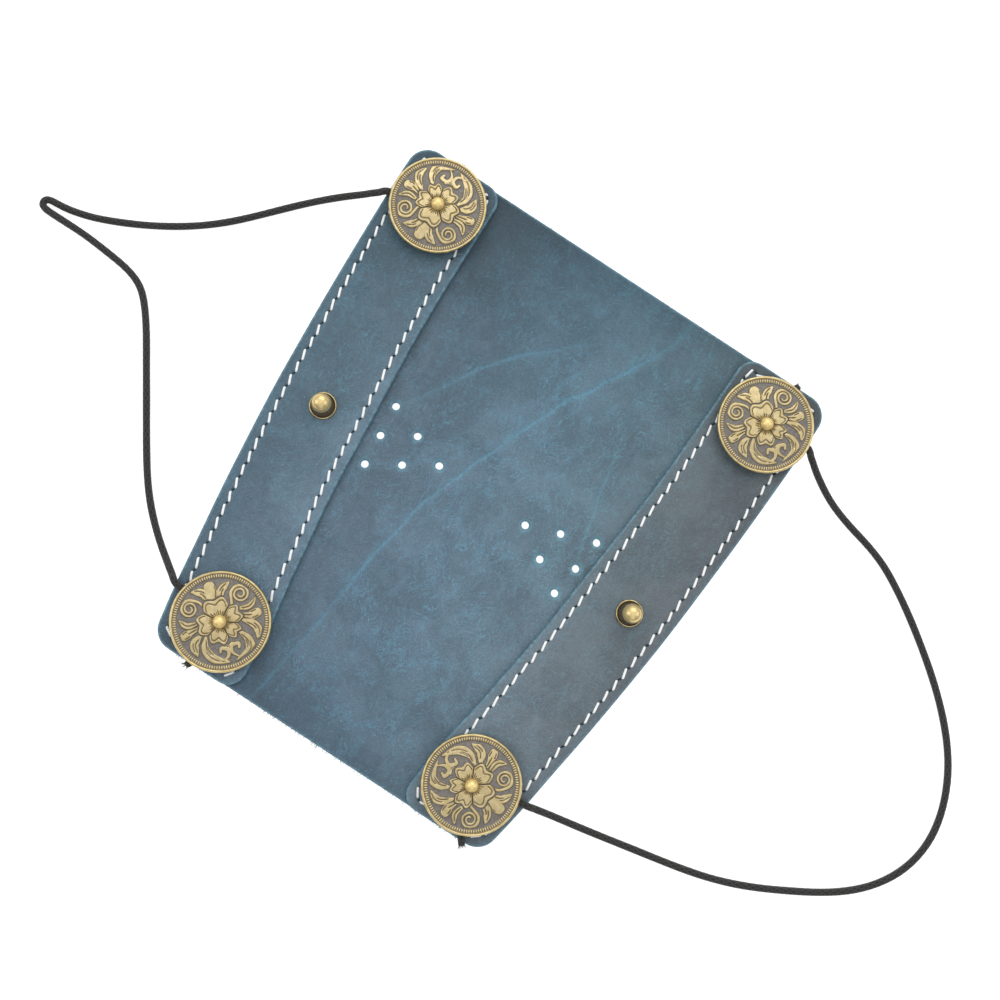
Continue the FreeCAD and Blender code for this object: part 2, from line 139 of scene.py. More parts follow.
# ---------------------------------------------------------------- curves
def through(table, ys):
    """Natural cubic curve x(y) through a table of (y, x)."""
    t = np.array(table, float)
    y, x = t[:, 0], t[:, 1]
    n, h = len(y), np.diff(t[:, 0])
    a, r = np.eye(n), np.zeros(n)
    for i in range(1, n - 1):
        a[i, i - 1:i + 2] = [h[i - 1], 2 * (h[i - 1] + h[i]), h[i]]
        r[i] = 6 * ((x[i + 1] - x[i]) / h[i] - (x[i] - x[i - 1]) / h[i - 1])
    m = np.linalg.solve(a, r)
    ys = np.asarray(ys, float)
    k = np.clip(np.searchsorted(y, ys) - 1, 0, n - 2)
    d, e = ys - y[k], y[k + 1] - ys
    return (m[k] * e ** 3 + m[k + 1] * d ** 3) / (6 * h[k]) + (x[k] / h[k] - m[k] * h[k] / 6) * e + (x[k + 1] / h[k] - m[k + 1] * h[k] / 6) * d


def bspline(poles, n):
    """Points on the clamped uniform cubic curve of these poles."""
    p = np.array(poles, float)
    m, k = len(p), 3
    t = np.concatenate([[0] * k, np.linspace(0, 1, m - k + 1), [1] * k])
    u = np.linspace(0, 1, n)
    u[-1] = 1 - 1e-9
    b = np.array([(u >= t[i]) & (u < t[i + 1]) for i in range(len(t) - 1)], float).T
    for d in range(1, k + 1):
        nb = np.zeros((n, len(t) - 1 - d))
        for i in range(len(t) - 1 - d):
            if t[i + d] > t[i]:
                nb[:, i] += (u - t[i]) / (t[i + d] - t[i]) * b[:, i]
            if t[i + d + 1] > t[i + 1]:
                nb[:, i] += (t[i + d + 1] - u) / (t[i + d + 1] - t[i + 1]) * b[:, i + 1]
        b = nb
    return b[:, :m] @ p


def even(points, gap, closed=False):
    """The polyline resampled at even steps of about gap."""
    p = np.array(points, float)
    if closed:
        p = np.vstack([p, p[:1]])
    s = np.concatenate([[0], np.cumsum(np.linalg.norm(np.diff(p, axis=0), axis=1))])
    n = max(2, int(round(s[-1] / gap)) + 1)
    q = np.linspace(0, s[-1], n)
    out = np.stack([np.interp(q, s, p[:, i]) for i in range(p.shape[1])], 1)
    return out[:-1] if closed else out


def normals(loop):
    """Unit normals to the left of a closed loop."""
    t = np.roll(loop, -1, 0) - np.roll(loop, 1, 0)
    t /= np.linalg.norm(t, axis=1)[:, None]
    return np.c_[-t[:, 1], t[:, 0]]


def round_corner(a, b, r):
    """Polyline a then polyline b, which meet at a corner, with that corner rounded."""
    a, b = np.array(a, float), np.array(b, float)
    c = a[-1]
    ua = a[max(0, len(a) - 12)] - c
    ub = b[min(len(b) - 1, 11)] - c
    ua, ub = ua / np.linalg.norm(ua), ub / np.linalg.norm(ub)
    half = math.acos(np.clip(ua @ ub, -1, 1)) / 2
    cut = r / math.tan(half)
    a = a[np.linalg.norm(a - c, axis=1) > cut]
    b = b[np.linalg.norm(b - c, axis=1) > cut]
    p, q = c + ua * cut, c + ub * cut
    mid = (ua + ub) / np.linalg.norm(ua + ub)
    o = c + mid * r / math.sin(half)
    a0 = math.atan2(*(p - o)[::-1])
    a1 = math.atan2(*(q - o)[::-1])
    while a1 < a0:
        a1 += 2 * math.pi
    ang = np.linspace(a0, a1, 24)
    return a, np.c_[o[0] + r * np.cos(ang), o[1] + r * np.sin(ang)], b


def chain(parts, radii):
    """Closed counter-clockwise outline from polylines that meet end to end; radii[i] rounds the corner after part i."""
    parts = [np.array(p, float) for p in parts]
    n = len(parts)
    arcs = [None] * n
    for i in range(n):
        if radii[i]:
            parts[i], arcs[i], parts[(i + 1) % n] = round_corner(parts[i], parts[(i + 1) % n], radii[i])
    out = []
    for i in range(n):
        out.append(parts[i])
        if arcs[i] is not None:
            out.append(arcs[i])
    pts = np.vstack(out)
    keep = np.linalg.norm(pts - np.roll(pts, 1, 0), axis=1) > 1e-6
    return pts[keep]


def segment(p, q, n=120):
    return np.linspace(p, q, n)


def line_distance(x, y, pts):
    """Distance from each point to a polyline, and the place along it from 0 to 1."""
    p = np.array(pts, float)
    best, along = np.full(x.shape, 1e9), np.zeros(x.shape)
    for i in range(len(p) - 1):
        dx, dy = p[i + 1] - p[i]
        t = np.clip(((x - p[i, 0]) * dx + (y - p[i, 1]) * dy) / (dx * dx + dy * dy), 0, 1)
        d = np.hypot(x - p[i, 0] - t * dx, y - p[i, 1] - t * dy)
        hit = d < best
        best[hit] = d[hit]
        along[hit] = ((i + t) / (len(p) - 1))[hit]
    return best, along


def step(a, b, x):
    t = np.clip((x - a) / (b - a), 0, 1)
    return t * t * (3 - 2 * t)


def hash_noise(x, y, scale, seed):
    """Smooth value noise, 0 to 1."""
    gx, gy = x / scale, y / scale
    ix, iy = np.floor(gx).astype(np.int64), np.floor(gy).astype(np.int64)
    fx, fy = gx - ix, gy - iy
    fx, fy = fx * fx * (3 - 2 * fx), fy * fy * (3 - 2 * fy)

    def at(i, j):
        v = (i * 374761393 + j * 668265263 + seed * 982451653) & 0x7FFFFFFF
        v = ((v ^ (v >> 13)) * 1274126177) & 0x7FFFFFFF
        return ((v ^ (v >> 16)) & 0xFFFF) / 65535.0

    return (at(ix, iy) * (1 - fx) + at(ix + 1, iy) * fx) * (1 - fy) + (at(ix, iy + 1) * (1 - fx) + at(ix + 1, iy + 1) * fx) * fy


# ---------------------------------------------------------------- mesh building
def make(name, verts, faces, attrs=None, smooth=True, sharp=40):
    """Mesh object from millimetre vertices. Its rest places are kept in the attribute 'rest', for the materials."""
    verts = np.asarray(verts, float)
    me = bpy.data.meshes.new(name)
    me.from_pydata((verts * MM).tolist(), [], faces if isinstance(faces, list) else faces.tolist())
    me.validate()
    me.update()
    a = me.attributes.new("rest", "FLOAT_VECTOR", "POINT")
    a.data.foreach_set("vector", verts.astype(np.float32).ravel())
    for key, values in (attrs or {}).items():
        a = me.attributes.new(key, "FLOAT", "POINT")
        a.data.foreach_set("value", np.asarray(values, np.float32))
    me.polygons.foreach_set("use_smooth", [smooth] * len(me.polygons))
    if smooth and sharp:
        me.set_sharp_from_angle(angle=math.radians(sharp))
    o = bpy.data.objects.new(name, me)
    bpy.context.scene.collection.objects.link(o)
    return o


class Pile:
    """Collects several bodies of vertices and faces into one mesh."""

    def __init__(self):
        self.v, self.f, self.a, self.n = [], [], {}, 0

    def add(self, verts, faces, **attrs):
        verts = np.asarray(verts, float)
        self.v.append(verts)
        self.f += [[i + self.n for i in f] for f in (faces if isinstance(faces, list) else faces.tolist())]
        for k in set(self.a) | set(attrs):
            self.a.setdefault(k, [np.zeros(self.n)])
            self.a[k].append(np.broadcast_to(np.asarray(attrs.get(k, 0.0), float), (len(verts),)))
        self.n += len(verts)

    def done(self, name, **kw):
        return make(name, np.vstack(self.v), self.f, {k: np.concatenate(v) for k, v in self.a.items()}, **kw)


def ring_faces(a, b, n):
    """Quads between ring a and ring b of n vertices, given by their first index."""
    i = np.arange(n)
    j = (i + 1) % n
    return np.c_[a + i, a + j, b + j, b + i].tolist()


def lathe_grid(rings, n):
    """Vertices and faces for rings (radius array or number, height array or number), closed at both ends by a fan if the radius is 0."""
    th = np.arange(n) * 2 * math.pi / n
    v, f, start = [], [], []
    count = 0
    for r, z in rings:
        if np.isscalar(r) and r == 0:
            v.append([[0, 0, float(np.mean(z))]])
            start.append((count, 1))
            count += 1
        else:
            r, z = np.broadcast_to(r, (n,)), np.broadcast_to(z, (n,))
            v.append(np.c_[r * np.cos(th), r * np.sin(th), z])
            start.append((count, n))
            count += n
    for (a, na), (b, nb) in zip(start[:-1], start[1:]):
        if na == nb == n:
            f += ring_faces(a, b, n)
        elif na == n:
            f += [[a + i, a + (i + 1) % n, b] for i in range(n)]
        else:
            f += [[a, b + (i + 1) % n, b + i] for i in range(n)]
    return np.vstack(v), f, start


def tube(points, radius, sides, cap=True, up=(0, 0, 1), flat=1.0):
    """Tube along points. radius is a number, one per ring, or a (rings, sides) array; flat squeezes it along up."""
    p = np.array(points, float)
    n = len(p)
    t = np.gradient(p, axis=0)
    t /= np.linalg.norm(t, axis=1)[:, None]
    u0 = np.array(up, float)
    side = np.cross(u0, t[0])
    if np.linalg.norm(side) < 1e-3:
        side = np.cross((1, 0, 0), t[0])
    side /= np.linalg.norm(side)
    r = np.asarray(radius, float)
    if r.ndim == 0:
        r = np.full((n, sides), float(r))
    elif r.ndim == 1:
        r = np.repeat(r[:, None], sides, 1)
    a = np.arange(sides) * 2 * math.pi / sides
    out = []
    for i in range(n):
        side = side - t[i] * (side @ t[i])
        side /= np.linalg.norm(side)
        over = np.cross(t[i], side)
        out.append(p[i] + r[i][:, None] * (np.cos(a)[:, None] * side + flat * np.sin(a)[:, None] * over))
    v = np.vstack(out)
    f = []
    for i in range(n - 1):
        f += ring_faces(i * sides, (i + 1) * sides, sides)
    if cap:
        v = np.vstack([v, p[:1], p[-1:]])
        f += [[n * sides, (i + 1) % sides, i] for i in range(sides)]
        last = (n - 1) * sides
        f += [[n * sides + 1, last + i, last + (i + 1) % sides] for i in range(sides)]
    return v, f


def inside(x, y, loop):
    """Even-odd test of points against a closed loop."""
    c = np.zeros(x.shape, bool)
    q = np.roll(loop, -1, 0)
    for (x0, y0), (x1, y1) in zip(loop, q):
        if y0 == y1:
            continue
        m = (y0 > y) != (y1 > y)
        c ^= m & (x < (x1 - x0) * (y - y0) / (y1 - y0) + x0)
    return c


def near_loop(x, y, loop, reach):
    """Distance to a densely sampled loop, only exact below reach, by a grid of cells."""
    best = np.full(x.shape, reach * 2.0)
    cell = {}
    for k, (px, py) in enumerate(loop):
        for i in (-1, 0, 1):
            for j in (-1, 0, 1):
                cell.setdefault((int(px // reach) + i, int(py // reach) + j), []).append(k)
    keys = {}
    for n, (i, j) in enumerate(zip((x // reach).astype(int), (y // reach).astype(int))):
        if (i, j) in cell:
            keys.setdefault((i, j), []).append(n)
    for key, ns in keys.items():
        ns, ks = np.array(ns), np.array(cell[key])
        d = np.hypot(x[ns][:, None] - loop[ks, 0], y[ns][:, None] - loop[ks, 1]).min(1)
        best[ns] = np.minimum(best[ns], d)
    return best


def slab(name, loops, gap, height, low, extra=()):
    """A sheet. loops: dicts with base points, directions into the material, and levels (offset, z) from the flesh side up to
    the grain side; the first loop is the outline. height and low give the two faces' relief at x, y. Returns arrays."""
    verts, faces = [], []
    count = 0
    top_ring, low_ring = [], []
    wall_edge = []
    for lp in loops:
        n = len(lp["base"])
        first = count
        for off, z in lp["levels"]:
            p = lp["base"] + lp["dirs"] * off
            verts.append(np.c_[p, np.full(n, z)])
            wall_edge.append(np.full(n, 1.0))
            count += n
        k = len(lp["levels"])
        for i in range(k - 1):
            # outline loops run counter-clockwise with the material to their left
            f = ring_faces(first + i * n, first + (i + 1) * n, n)
            faces += f if lp["outer"] else [q[::-1] for q in f]
        low_ring.append((first, n))
        top_ring.append((first + (k - 1) * n, n))
        wall_edge[-1][:] = lp.get("top_edge", 0.6)
    rim = np.vstack(verts)
    # grain side: lattice inside the top rings
    tops = [rim[a:a + n, :2] for a, n in top_ring]
    lo, hi = tops[0].min(0), tops[0].max(0)
    ys = np.arange(lo[1] + gap * 0.4, hi[1], gap * 0.866)
    grid = []
    for i, y in enumerate(ys):
        xs = np.arange(lo[0] + gap * 0.3 + (i % 2) * gap / 2, hi[0], gap)
        grid.append(np.c_[xs, np.full(len(xs), y)])
    grid = np.vstack(grid)
    grid += RNG.uniform(-0.16, 0.16, grid.shape) * gap
    keep = inside(grid[:, 0], grid[:, 1], tops[0])
    for loop, lp in zip(tops, loops):
        reach = lp.get("clear", gap * 0.62)
        if lp["outer"]:
            keep &= near_loop(grid[:, 0], grid[:, 1], even(loop, gap * 0.4, True), reach * 1.0001) >= reach
        else:
            c = loop.mean(0)
            keep &= np.hypot(grid[:, 0] - c[0], grid[:, 1] - c[1]) > lp["hole"] + reach
    grid = grid[keep]
    for e in extra:
        e = np.asarray(e, float)
        d = np.full(len(grid), 1e9)
        for s in range(0, len(e), 64):
            d = np.minimum(d, np.hypot(grid[:, 0][:, None] - e[s:s + 64, 0], grid[:, 1][:, None] - e[s:s + 64, 1]).min(1))
        grid = np.vstack([grid[d > gap * 0.5], e])
    flat, edges, at = [], [], 0
    for loop in tops:
        n = len(loop)
        flat.append(loop)
        edges += [(at + i, at + (i + 1) % n) for i in range(n)]
        at += n
    rimn = at
    flat = np.vstack(flat + [grid])
    out = delaunay_2d_cdt([Vector(p) for p in flat.tolist()], edges, [], 1, 1e-5)
    ov = np.array([tuple(v) for v in out[0]])
    back = np.array([o[0] if o else -1 for o in out[3]])
    if (back < 0).any():
        raise RuntimeError("%s: the outline crosses itself" % name)
    tri = back[np.array([f for f in out[2]], int)]
    cen = flat[tri].mean(1)
    good = np.ones(len(tri), bool)
    for loop, lp in zip(tops[1:], loops[1:]):
        c = loop.mean(0)
        good &= ~((np.hypot(cen[:, 0] - c[0], cen[:, 1] - c[1]) < lp["hole"] * 1.3) & inside(cen[:, 0], cen[:, 1], loop))
    tri = tri[good]
    a, b, c = flat[tri[:, 0]], flat[tri[:, 1]], flat[tri[:, 2]]
    area = (b[:, 0] - a[:, 0]) * (c[:, 1] - a[:, 1]) - (b[:, 1] - a[:, 1]) * (c[:, 0] - a[:, 0])
    tri[area < 0] = tri[area < 0][:, ::-1]
    used = np.zeros(len(flat), bool)
    used[tri.ravel()] = True
    used[:rimn] = True
    grid_used = np.where(used[rimn:])[0]
    grid = grid[grid_used]
    place = np.full(len(flat), -1)
    at = 0
    for start, n in top_ring:
        place[at:at + n] = start + np.arange(n)
        at += n
    place[rimn + grid_used] = count + np.arange(len(grid))
    top_tri = place[tri]
    under = place.copy()
    at = 0
    for start, n in low_ring:
        under[at:at + n] = start + np.arange(n)
        at += n
    under[rimn + grid_used] = count + len(grid) + np.arange(len(grid))
    low_tri = under[tri][:, ::-1]
    v = np.vstack([rim, np.c_[grid, np.zeros(len(grid))], np.c_[grid, np.zeros(len(grid))]])
    edge = np.concatenate([np.concatenate(wall_edge), np.zeros(2 * len(grid))])
    flesh = np.zeros(len(v))
    ti = np.unique(top_tri.ravel())
    li = np.unique(low_tri.ravel())
    level_top, level_low = loops[0]["levels"][-1][1], loops[0]["levels"][0][1]
    v[ti, 2] = level_top + height(v[ti, 0], v[ti, 1])
    v[li, 2] = np.where(v[li, 2] > level_low + 1e-6, v[li, 2], level_low + low(v[li, 0], v[li, 1]))
    flesh[li] = 1.0
    faces += top_tri.tolist() + low_tri.tolist()
    return v, faces, edge, flesh
# ---------------------------------------------------------------- rosette relief
def bez(points, n=36):
    """Catmull-Rom curve through points."""
    p = np.array(points, float)
    p = np.vstack([2 * p[0] - p[1], p, 2 * p[-1] - p[-2]])
    out = []
    seg = len(p) - 3
    for i in range(seg):
        t = np.linspace(0, 1, max(3, n // seg), endpoint=False)[:, None]
        a, b, c, d = p[i], p[i + 1], p[i + 2], p[i + 3]
        out.append(0.5 * (2 * b + (c - a) * t + (2 * a - 5 * b + 4 * c - d) * t ** 2 + (3 * b - a - 3 * c + d) * t ** 3))
    out.append(p[-2][None])
    return np.vstack(out)



def ribbon(x, y, spine, widths):
    """For points x, y: how far inside a ribbon round the spine each lies, the place along it, and the signed side."""
    s = bez(spine)
    k = np.linspace(0, 1, len(s))
    w = np.interp(k, np.linspace(0, 1, len(widths)), widths)
    best = np.full(x.shape, -1e9)
    along = np.zeros(x.shape)
    side = np.zeros(x.shape)
    reach = w.max() + 0.03
    near = (x > s[:, 0].min() - reach) & (x < s[:, 0].max() + reach) & (y > s[:, 1].min() - reach) & (y < s[:, 1].max() + reach)
    px, py = x[near], y[near]
    b, al, sd = np.full(px.shape, -1e9), np.zeros(px.shape), np.zeros(px.shape)
    for i in range(len(s) - 1):
        ax, ay = s[i]
        dx, dy = s[i + 1] - s[i]
        l2 = dx * dx + dy * dy + 1e-12
        t = np.clip(((px - ax) * dx + (py - ay) * dy) / l2, 0, 1)
        d = np.hypot(px - ax - t * dx, py - ay - t * dy)
        m = w[i] + (w[i + 1] - w[i]) * t - d
        hit = m > b
        b[hit] = m[hit]
        al[hit] = k[i] + (k[i + 1] - k[i]) * t[hit]
        sd[hit] = (dx * (py - ay) - dy * (px - ax))[hit] / math.sqrt(l2)
    best[near], along[near], side[near] = b, al, sd
    return best, along, side


def leafy(h, x, y, spine, widths, groove=None, vein=None, rise=1.0):
    m, t, side = ribbon(x, y, spine, widths)
    v = rise * step(0.0, 0.024, m)
    if groove is not None:                       # a cut line that follows the outline inside it
        inset, t0, t1 = groove
        v = v - 0.85 * np.exp(-((m - inset) / 0.0095) ** 2) * (t > t0) * (t < t1)
    if vein is not None:                         # cut lines along the spine
        for off, t0, t1 in vein:
            v = v - 0.85 * np.exp(-((side - off) / 0.0095) ** 2) * step(t0 - 0.04, t0 + 0.04, t) * step(t1 + 0.04, t1 - 0.04, t) * (m > 0.012)
    return np.maximum(h, np.where(m > 0, np.maximum(v, 0.0), 0.0))


def spiral(cx, cy, r0, turns, a0, sense, tail):
    """Spine of a scroll that winds outwards from (cx, cy) and runs off along tail."""
    a = np.linspace(0.25, turns, 22) * 2 * math.pi
    r = 0.018 + (r0 - 0.018) * (a / a[-1]) ** 0.9
    pts = np.c_[cx + r * np.cos(a0 + sense * (a - a[-1])), cy + r * np.sin(a0 + sense * (a - a[-1]))]
    return np.vstack([pts, np.array(tail, float).reshape(-1, 2)]).tolist()


def rosette(x, y):
    """Relief, 0 in the sunk ground to 1 on the raised work, at x, y in units of the rosette's radius."""
    h = np.zeros(x.shape)
    r, a = np.hypot(x, y), np.degrees(np.arctan2(y, x)) % 360
    # club leaf and its two side leaves
    h = leafy(h, x, y, [(-0.11, 0.34), (-0.18, 0.54), (-0.228, 0.675)], [0.045, 0.09, 0.13, 0.125], (0.03, 0.25, 0.9))
    h = leafy(h, x, y, [(-0.20, 0.38), (-0.36, 0.55), (-0.575, 0.575)], [0.04, 0.095, 0.095, 0.035], None, [(0.022, 0.2, 0.62), (-0.02, 0.42, 0.86)])
    h = leafy(h, x, y, [(-0.02, 0.40), (0.01, 0.62), (0.15, 0.775)], [0.04, 0.09, 0.092, 0.035], None, [(-0.022, 0.2, 0.62), (0.02, 0.42, 0.86)])
    # two scrolls
    h = leafy(h, x, y, spiral(-0.605, 0.245, 0.18, 2.25, math.radians(62), -1, [(-0.40, 0.36), (-0.28, 0.24)]), [0.030, 0.034, 0.034, 0.034, 0.036, 0.045, 0.04], None)
    h = leafy(h, x, y, spiral(0.375, 0.55, 0.19, 2.25, math.radians(205), 1, [(0.22, 0.36), (0.20, 0.28)]), [0.030, 0.036, 0.036, 0.036, 0.038, 0.045, 0.04], None)
    # right side: a curled leaf, a heart-headed leaf, a long leaf
    h = leafy(h, x, y, [(0.34, 0.26), (0.56, 0.31), (0.675, 0.47)], [0.04, 0.07, 0.07, 0.03], None, [(0.0, 0.15, 0.9)])
    h = leafy(h, x, y, [(0.40, 0.14), (0.60, 0.14), (0.715, 0.185)], [0.045, 0.07, 0.11, 0.105], (0.045, 0.62, 1.0), [(0.0, 0.05, 0.55)])
    h = leafy(h, x, y, [(0.42, 0.05), (0.64, -0.03), (0.745, -0.15), (0.735, -0.31)], [0.04, 0.09, 0.10, 0.035], None, [(0.018, 0.35, 0.9), (-0.028, 0.15, 0.6)])
    # left side, mirrored in kind
    h = leafy(h, x, y, [(-0.40, -0.02), (-0.64, -0.09), (-0.80, 0.01)], [0.04, 0.075, 0.075, 0.03], None, [(0.0, 0.1, 0.9)])
    h = leafy(h, x, y, [(-0.42, -0.14), (-0.60, -0.24), (-0.70, -0.305)], [0.045, 0.07, 0.105, 0.095], (0.045, 0.62, 1.0), [(0.0, 0.05, 0.55)])
    h = leafy(h, x, y, [(-0.36, -0.26), (-0.49, -0.46), (-0.42, -0.68)], [0.04, 0.10, 0.10, 0.03], None, [(0.02, 0.2, 0.85), (-0.025, 0.45, 0.8)])
    # the great crescent below, in two arms with curls between them
    h = leafy(h, x, y, [(-0.27, -0.30), (-0.27, -0.54), (-0.10, -0.73), (0.20, -0.79)], [0.04, 0.085, 0.11, 0.095, 0.03], None, [(0.025, 0.1, 0.55), (-0.012, 0.4, 0.9), (0.05, 0.3, 0.6)])
    h = leafy(h, x, y, [(0.38, -0.18), (0.56, -0.34), (0.58, -0.56), (0.34, -0.75)], [0.04, 0.085, 0.11, 0.095, 0.03], None, [(-0.025, 0.1, 0.55), (0.012, 0.4, 0.9), (-0.05, 0.3, 0.6)])
    h = leafy(h, x, y, [(-0.03, -0.80), (0.16, -0.70), (0.17, -0.56), (0.04, -0.52), (0.02, -0.60)], [0.02, 0.045, 0.055, 0.05, 0.04], None, None)
    h = leafy(h, x, y, [(0.44, -0.70), (0.26, -0.60), (0.24, -0.46), (0.37, -0.42), (0.38, -0.50)], [0.02, 0.045, 0.055, 0.05, 0.04], None, None)
    h = leafy(h, x, y, [(0.10, -0.42), (0.17, -0.49), (0.24, -0.40)], [0.03, 0.04, 0.03], None, [(0.0, 0.1, 0.9)])
    # five-petalled flower over everything
    edges = [62.0, 153.0, 232.0, 302.0, 357.0, 422.0]
    petal = np.zeros(x.shape)
    t = np.zeros(x.shape)
    size = np.zeros(x.shape)
    grow = [1.13, 1.08, 1.05, 1.03, 1.07]
    aa = np.where(a < edges[0], a + 360, a)
    for i in range(5):
        inside = (aa >= edges[i]) & (aa < edges[i + 1])
        t[inside] = (aa[inside] - edges[i]) / (edges[i + 1] - edges[i])
        size[inside] = grow[i]
    lobe = np.sin(math.pi * np.clip(t, 0.001, 0.999)) ** 0.4
    rim = size * (0.30 + 0.13 * lobe - 0.034 * np.cos(4 * math.pi * t) * lobe)
    inner = size * (0.235 + 0.115 * lobe - 0.045 * np.cos(4 * math.pi * t) * lobe)
    m = rim - r
    v = step(0.0, 0.026, m) * 1.15
    v = v - 0.95 * np.exp(-((r - inner) / 0.0125) ** 2) * (t > 0.07) * (t < 0.93)
    gap = np.minimum(t, 1 - t) * np.radians(75) * np.maximum(r, 0.05)
    v = v - 1.05 * np.exp(-(gap / 0.012) ** 2) * (r > 0.13)
    spokes = np.abs(((t * 7.0) % 1.0) - 0.5) / 7.0 * np.radians(75) * r
    reach = 0.21 + 0.05 * np.sin(t * 23.0) * np.sin(t * 9.0)
    v = v - 0.8 * np.exp(-((0.5 / 7.0 * np.radians(75) * r - spokes) / 0.008) ** 2) * step(0.14, 0.16, r) * step(reach + 0.02, reach - 0.03, r) * (t > 0.1) * (t < 0.9)
    h = np.where(m > -0.012, np.maximum(v, 0), h)                     # a moat round the flower
    return np.clip(h, 0, 1.2)


# ---------------------------------------------------------------- the panel, one sheet in four lengths
FREE = [(0.45, 0.0), (0.12, 0.16), (0.0, 0.5), (0.0, LEVEL - 0.75), (0.1, LEVEL - 0.35), (0.32, LEVEL - 0.1), (0.75, LEVEL)]


def panel_height(x, y):
    h = 0.05 * (hash_noise(x, y, 14.0, 3) - 0.5) + 0.035 * (hash_noise(x, y, 5.0, 4) - 0.5)
    for pts, deep, wide in CREASES:
        d, t = line_distance(x + 1.6 * (hash_noise(x, y, 6.0, 5) - 0.5), y + 1.6 * (hash_noise(x, y, 6.0, 6) - 0.5), pts)
        run = 0.35 + 0.65 * hash_noise(t * 90.0, t * 0, 9.0, 11)
        h -= deep * run * (0.16 * np.exp(-(d / (0.42 * wide)) ** 2) - 0.075 * np.exp(-((d - 1.3 * wide) / (0.8 * wide)) ** 2))
    for vx, vy in VENTS:
        d = np.hypot(x - vx, y - vy)
        h += np.where(d < 6, -0.32 * np.exp(-(np.maximum(d - VENT_R, 0) / 0.55) ** 2) + 0.05 * np.exp(-((d - 2.75) / 0.45) ** 2), 0)
    for s, (table, lo) in (("left", (INNER, -1)), ("right", (INNER, 1))):
        # the sheet is pressed down a little along and under the bands
        d = lo * x - through(table, np.clip(y, -END, END))
        h -= 0.06 * step(-1.2, 0.4, d) + 0.02 * step(0.2, 1.0, d)
    return h


def crease_mask(x, y):
    """The pale ring round each ventilation hole."""
    m = np.zeros(x.shape)
    for vx, vy in VENTS:
        d = np.hypot(x - vx, y - vy)
        m = np.maximum(m, np.exp(-(np.maximum(0, d - 1.95) / 0.42) ** 2))
    return m


def crease_lines(x, y, table):
    """For each point: its distance square to the nearest crease, with a sign, and how strong the crease is there."""
    best, square, power = np.full(x.shape, 1e9), np.full(x.shape, 50.0), np.zeros(x.shape)
    wx = x + 1.1 * (hash_noise(x, y, 7.0, 5) - 0.5) + 0.5 * (hash_noise(x, y, 2.2, 15) - 0.5)
    wy = y + 1.1 * (hash_noise(x, y, 7.0, 6) - 0.5) + 0.5 * (hash_noise(x, y, 2.2, 16) - 0.5)
    for pts, deep, wide in table:
        p = np.array(pts, float)
        for _ in range(3):
            q, r = p[:-1] * 0.75 + p[1:] * 0.25, p[:-1] * 0.25 + p[1:] * 0.75
            p = np.vstack([p[:1], np.stack([q, r], 1).reshape(-1, 2), p[-1:]])
        seg = np.diff(p, axis=0)
        length = np.hypot(seg[:, 0], seg[:, 1])
        start = np.concatenate([[0], np.cumsum(length)])
        for i in range(len(seg)):
            ux, uy = seg[i] / length[i]
            dx, dy = wx - p[i, 0], wy - p[i, 1]
            along = dx * ux + dy * uy
            across = dx * uy - dy * ux
            t = np.clip(along, 0, length[i])
            d = np.hypot(along - t, across)
            hit = d < best
            s = start[i] + t
            run = 0.45 + 0.55 * hash_noise(s, s * 0, 9.0, 12)
            fade = step(0.0, 7.0, s) * step(start[-1], start[-1] - 7.0, s)
            if abs(pts[0][1]) > 95 or abs(pts[-1][1]) > 95:
                fade = np.maximum(fade, np.where(s < start[-1] / 2, abs(pts[0][1]) > 95, abs(pts[-1][1]) > 95))
            best[hit] = d[hit]
            square[hit] = across[hit]
            power[hit] = (deep * run * fade * step(6.5, 3.5, d))[hit]
    return square, power


def circle(cx, cy, r, n):
    a = np.arange(n) * 2 * math.pi / n
    return np.c_[cx + r * np.cos(a), cy + r * np.sin(a)]


def hole_loop(cx, cy, levels, n, clear=0.5):
    """A round hole: levels are (radius, z) from the flesh side to the grain side."""
    a = np.arange(n) * 2 * math.pi / n
    return {"base": np.tile([[cx, cy]], (n, 1)), "dirs": np.c_[np.cos(a), np.sin(a)], "levels": levels, "outer": False,
            "hole": levels[-1][0], "clear": clear}


def side_points(table, sx, y0, y1, n=500):
    ys = np.linspace(y0, y1, n)
    return np.c_[sx * through(table, ys), ys]


def fibres(pile, pts, out, count, seed, long=(0.5, 1.7), z=(0.5, 2.0)):
    """Loose fibres of the cut edge: thin bent hairs growing from points along out."""
    rng = np.random.default_rng(seed)
    for _ in range(count):
        k = rng.integers(len(pts))
        base = np.array([*pts[k], rng.uniform(*z)])
        o = np.array([*out[k], 0.0])
        side = np.array([-o[1], o[0], 0])
        length = rng.uniform(*long)
        sway, lift = rng.uniform(-0.9, 0.9), rng.uniform(-0.35, 0.45)
        t = np.linspace(0, 1, 5)[:, None]
        path = base - o * 0.25 + o * t * length + side * (t ** 1.5) * sway * length + np.array([0, 0, 1]) * (t ** 2) * lift * length
        path[:, 2] = np.maximum(path[:, 2], 0.08)
        v, f = tube(path, np.linspace(0.055, 0.02, 5), 4)
        pile.add(v, f, edge=1.0, flesh=0.0, crease=0.0)


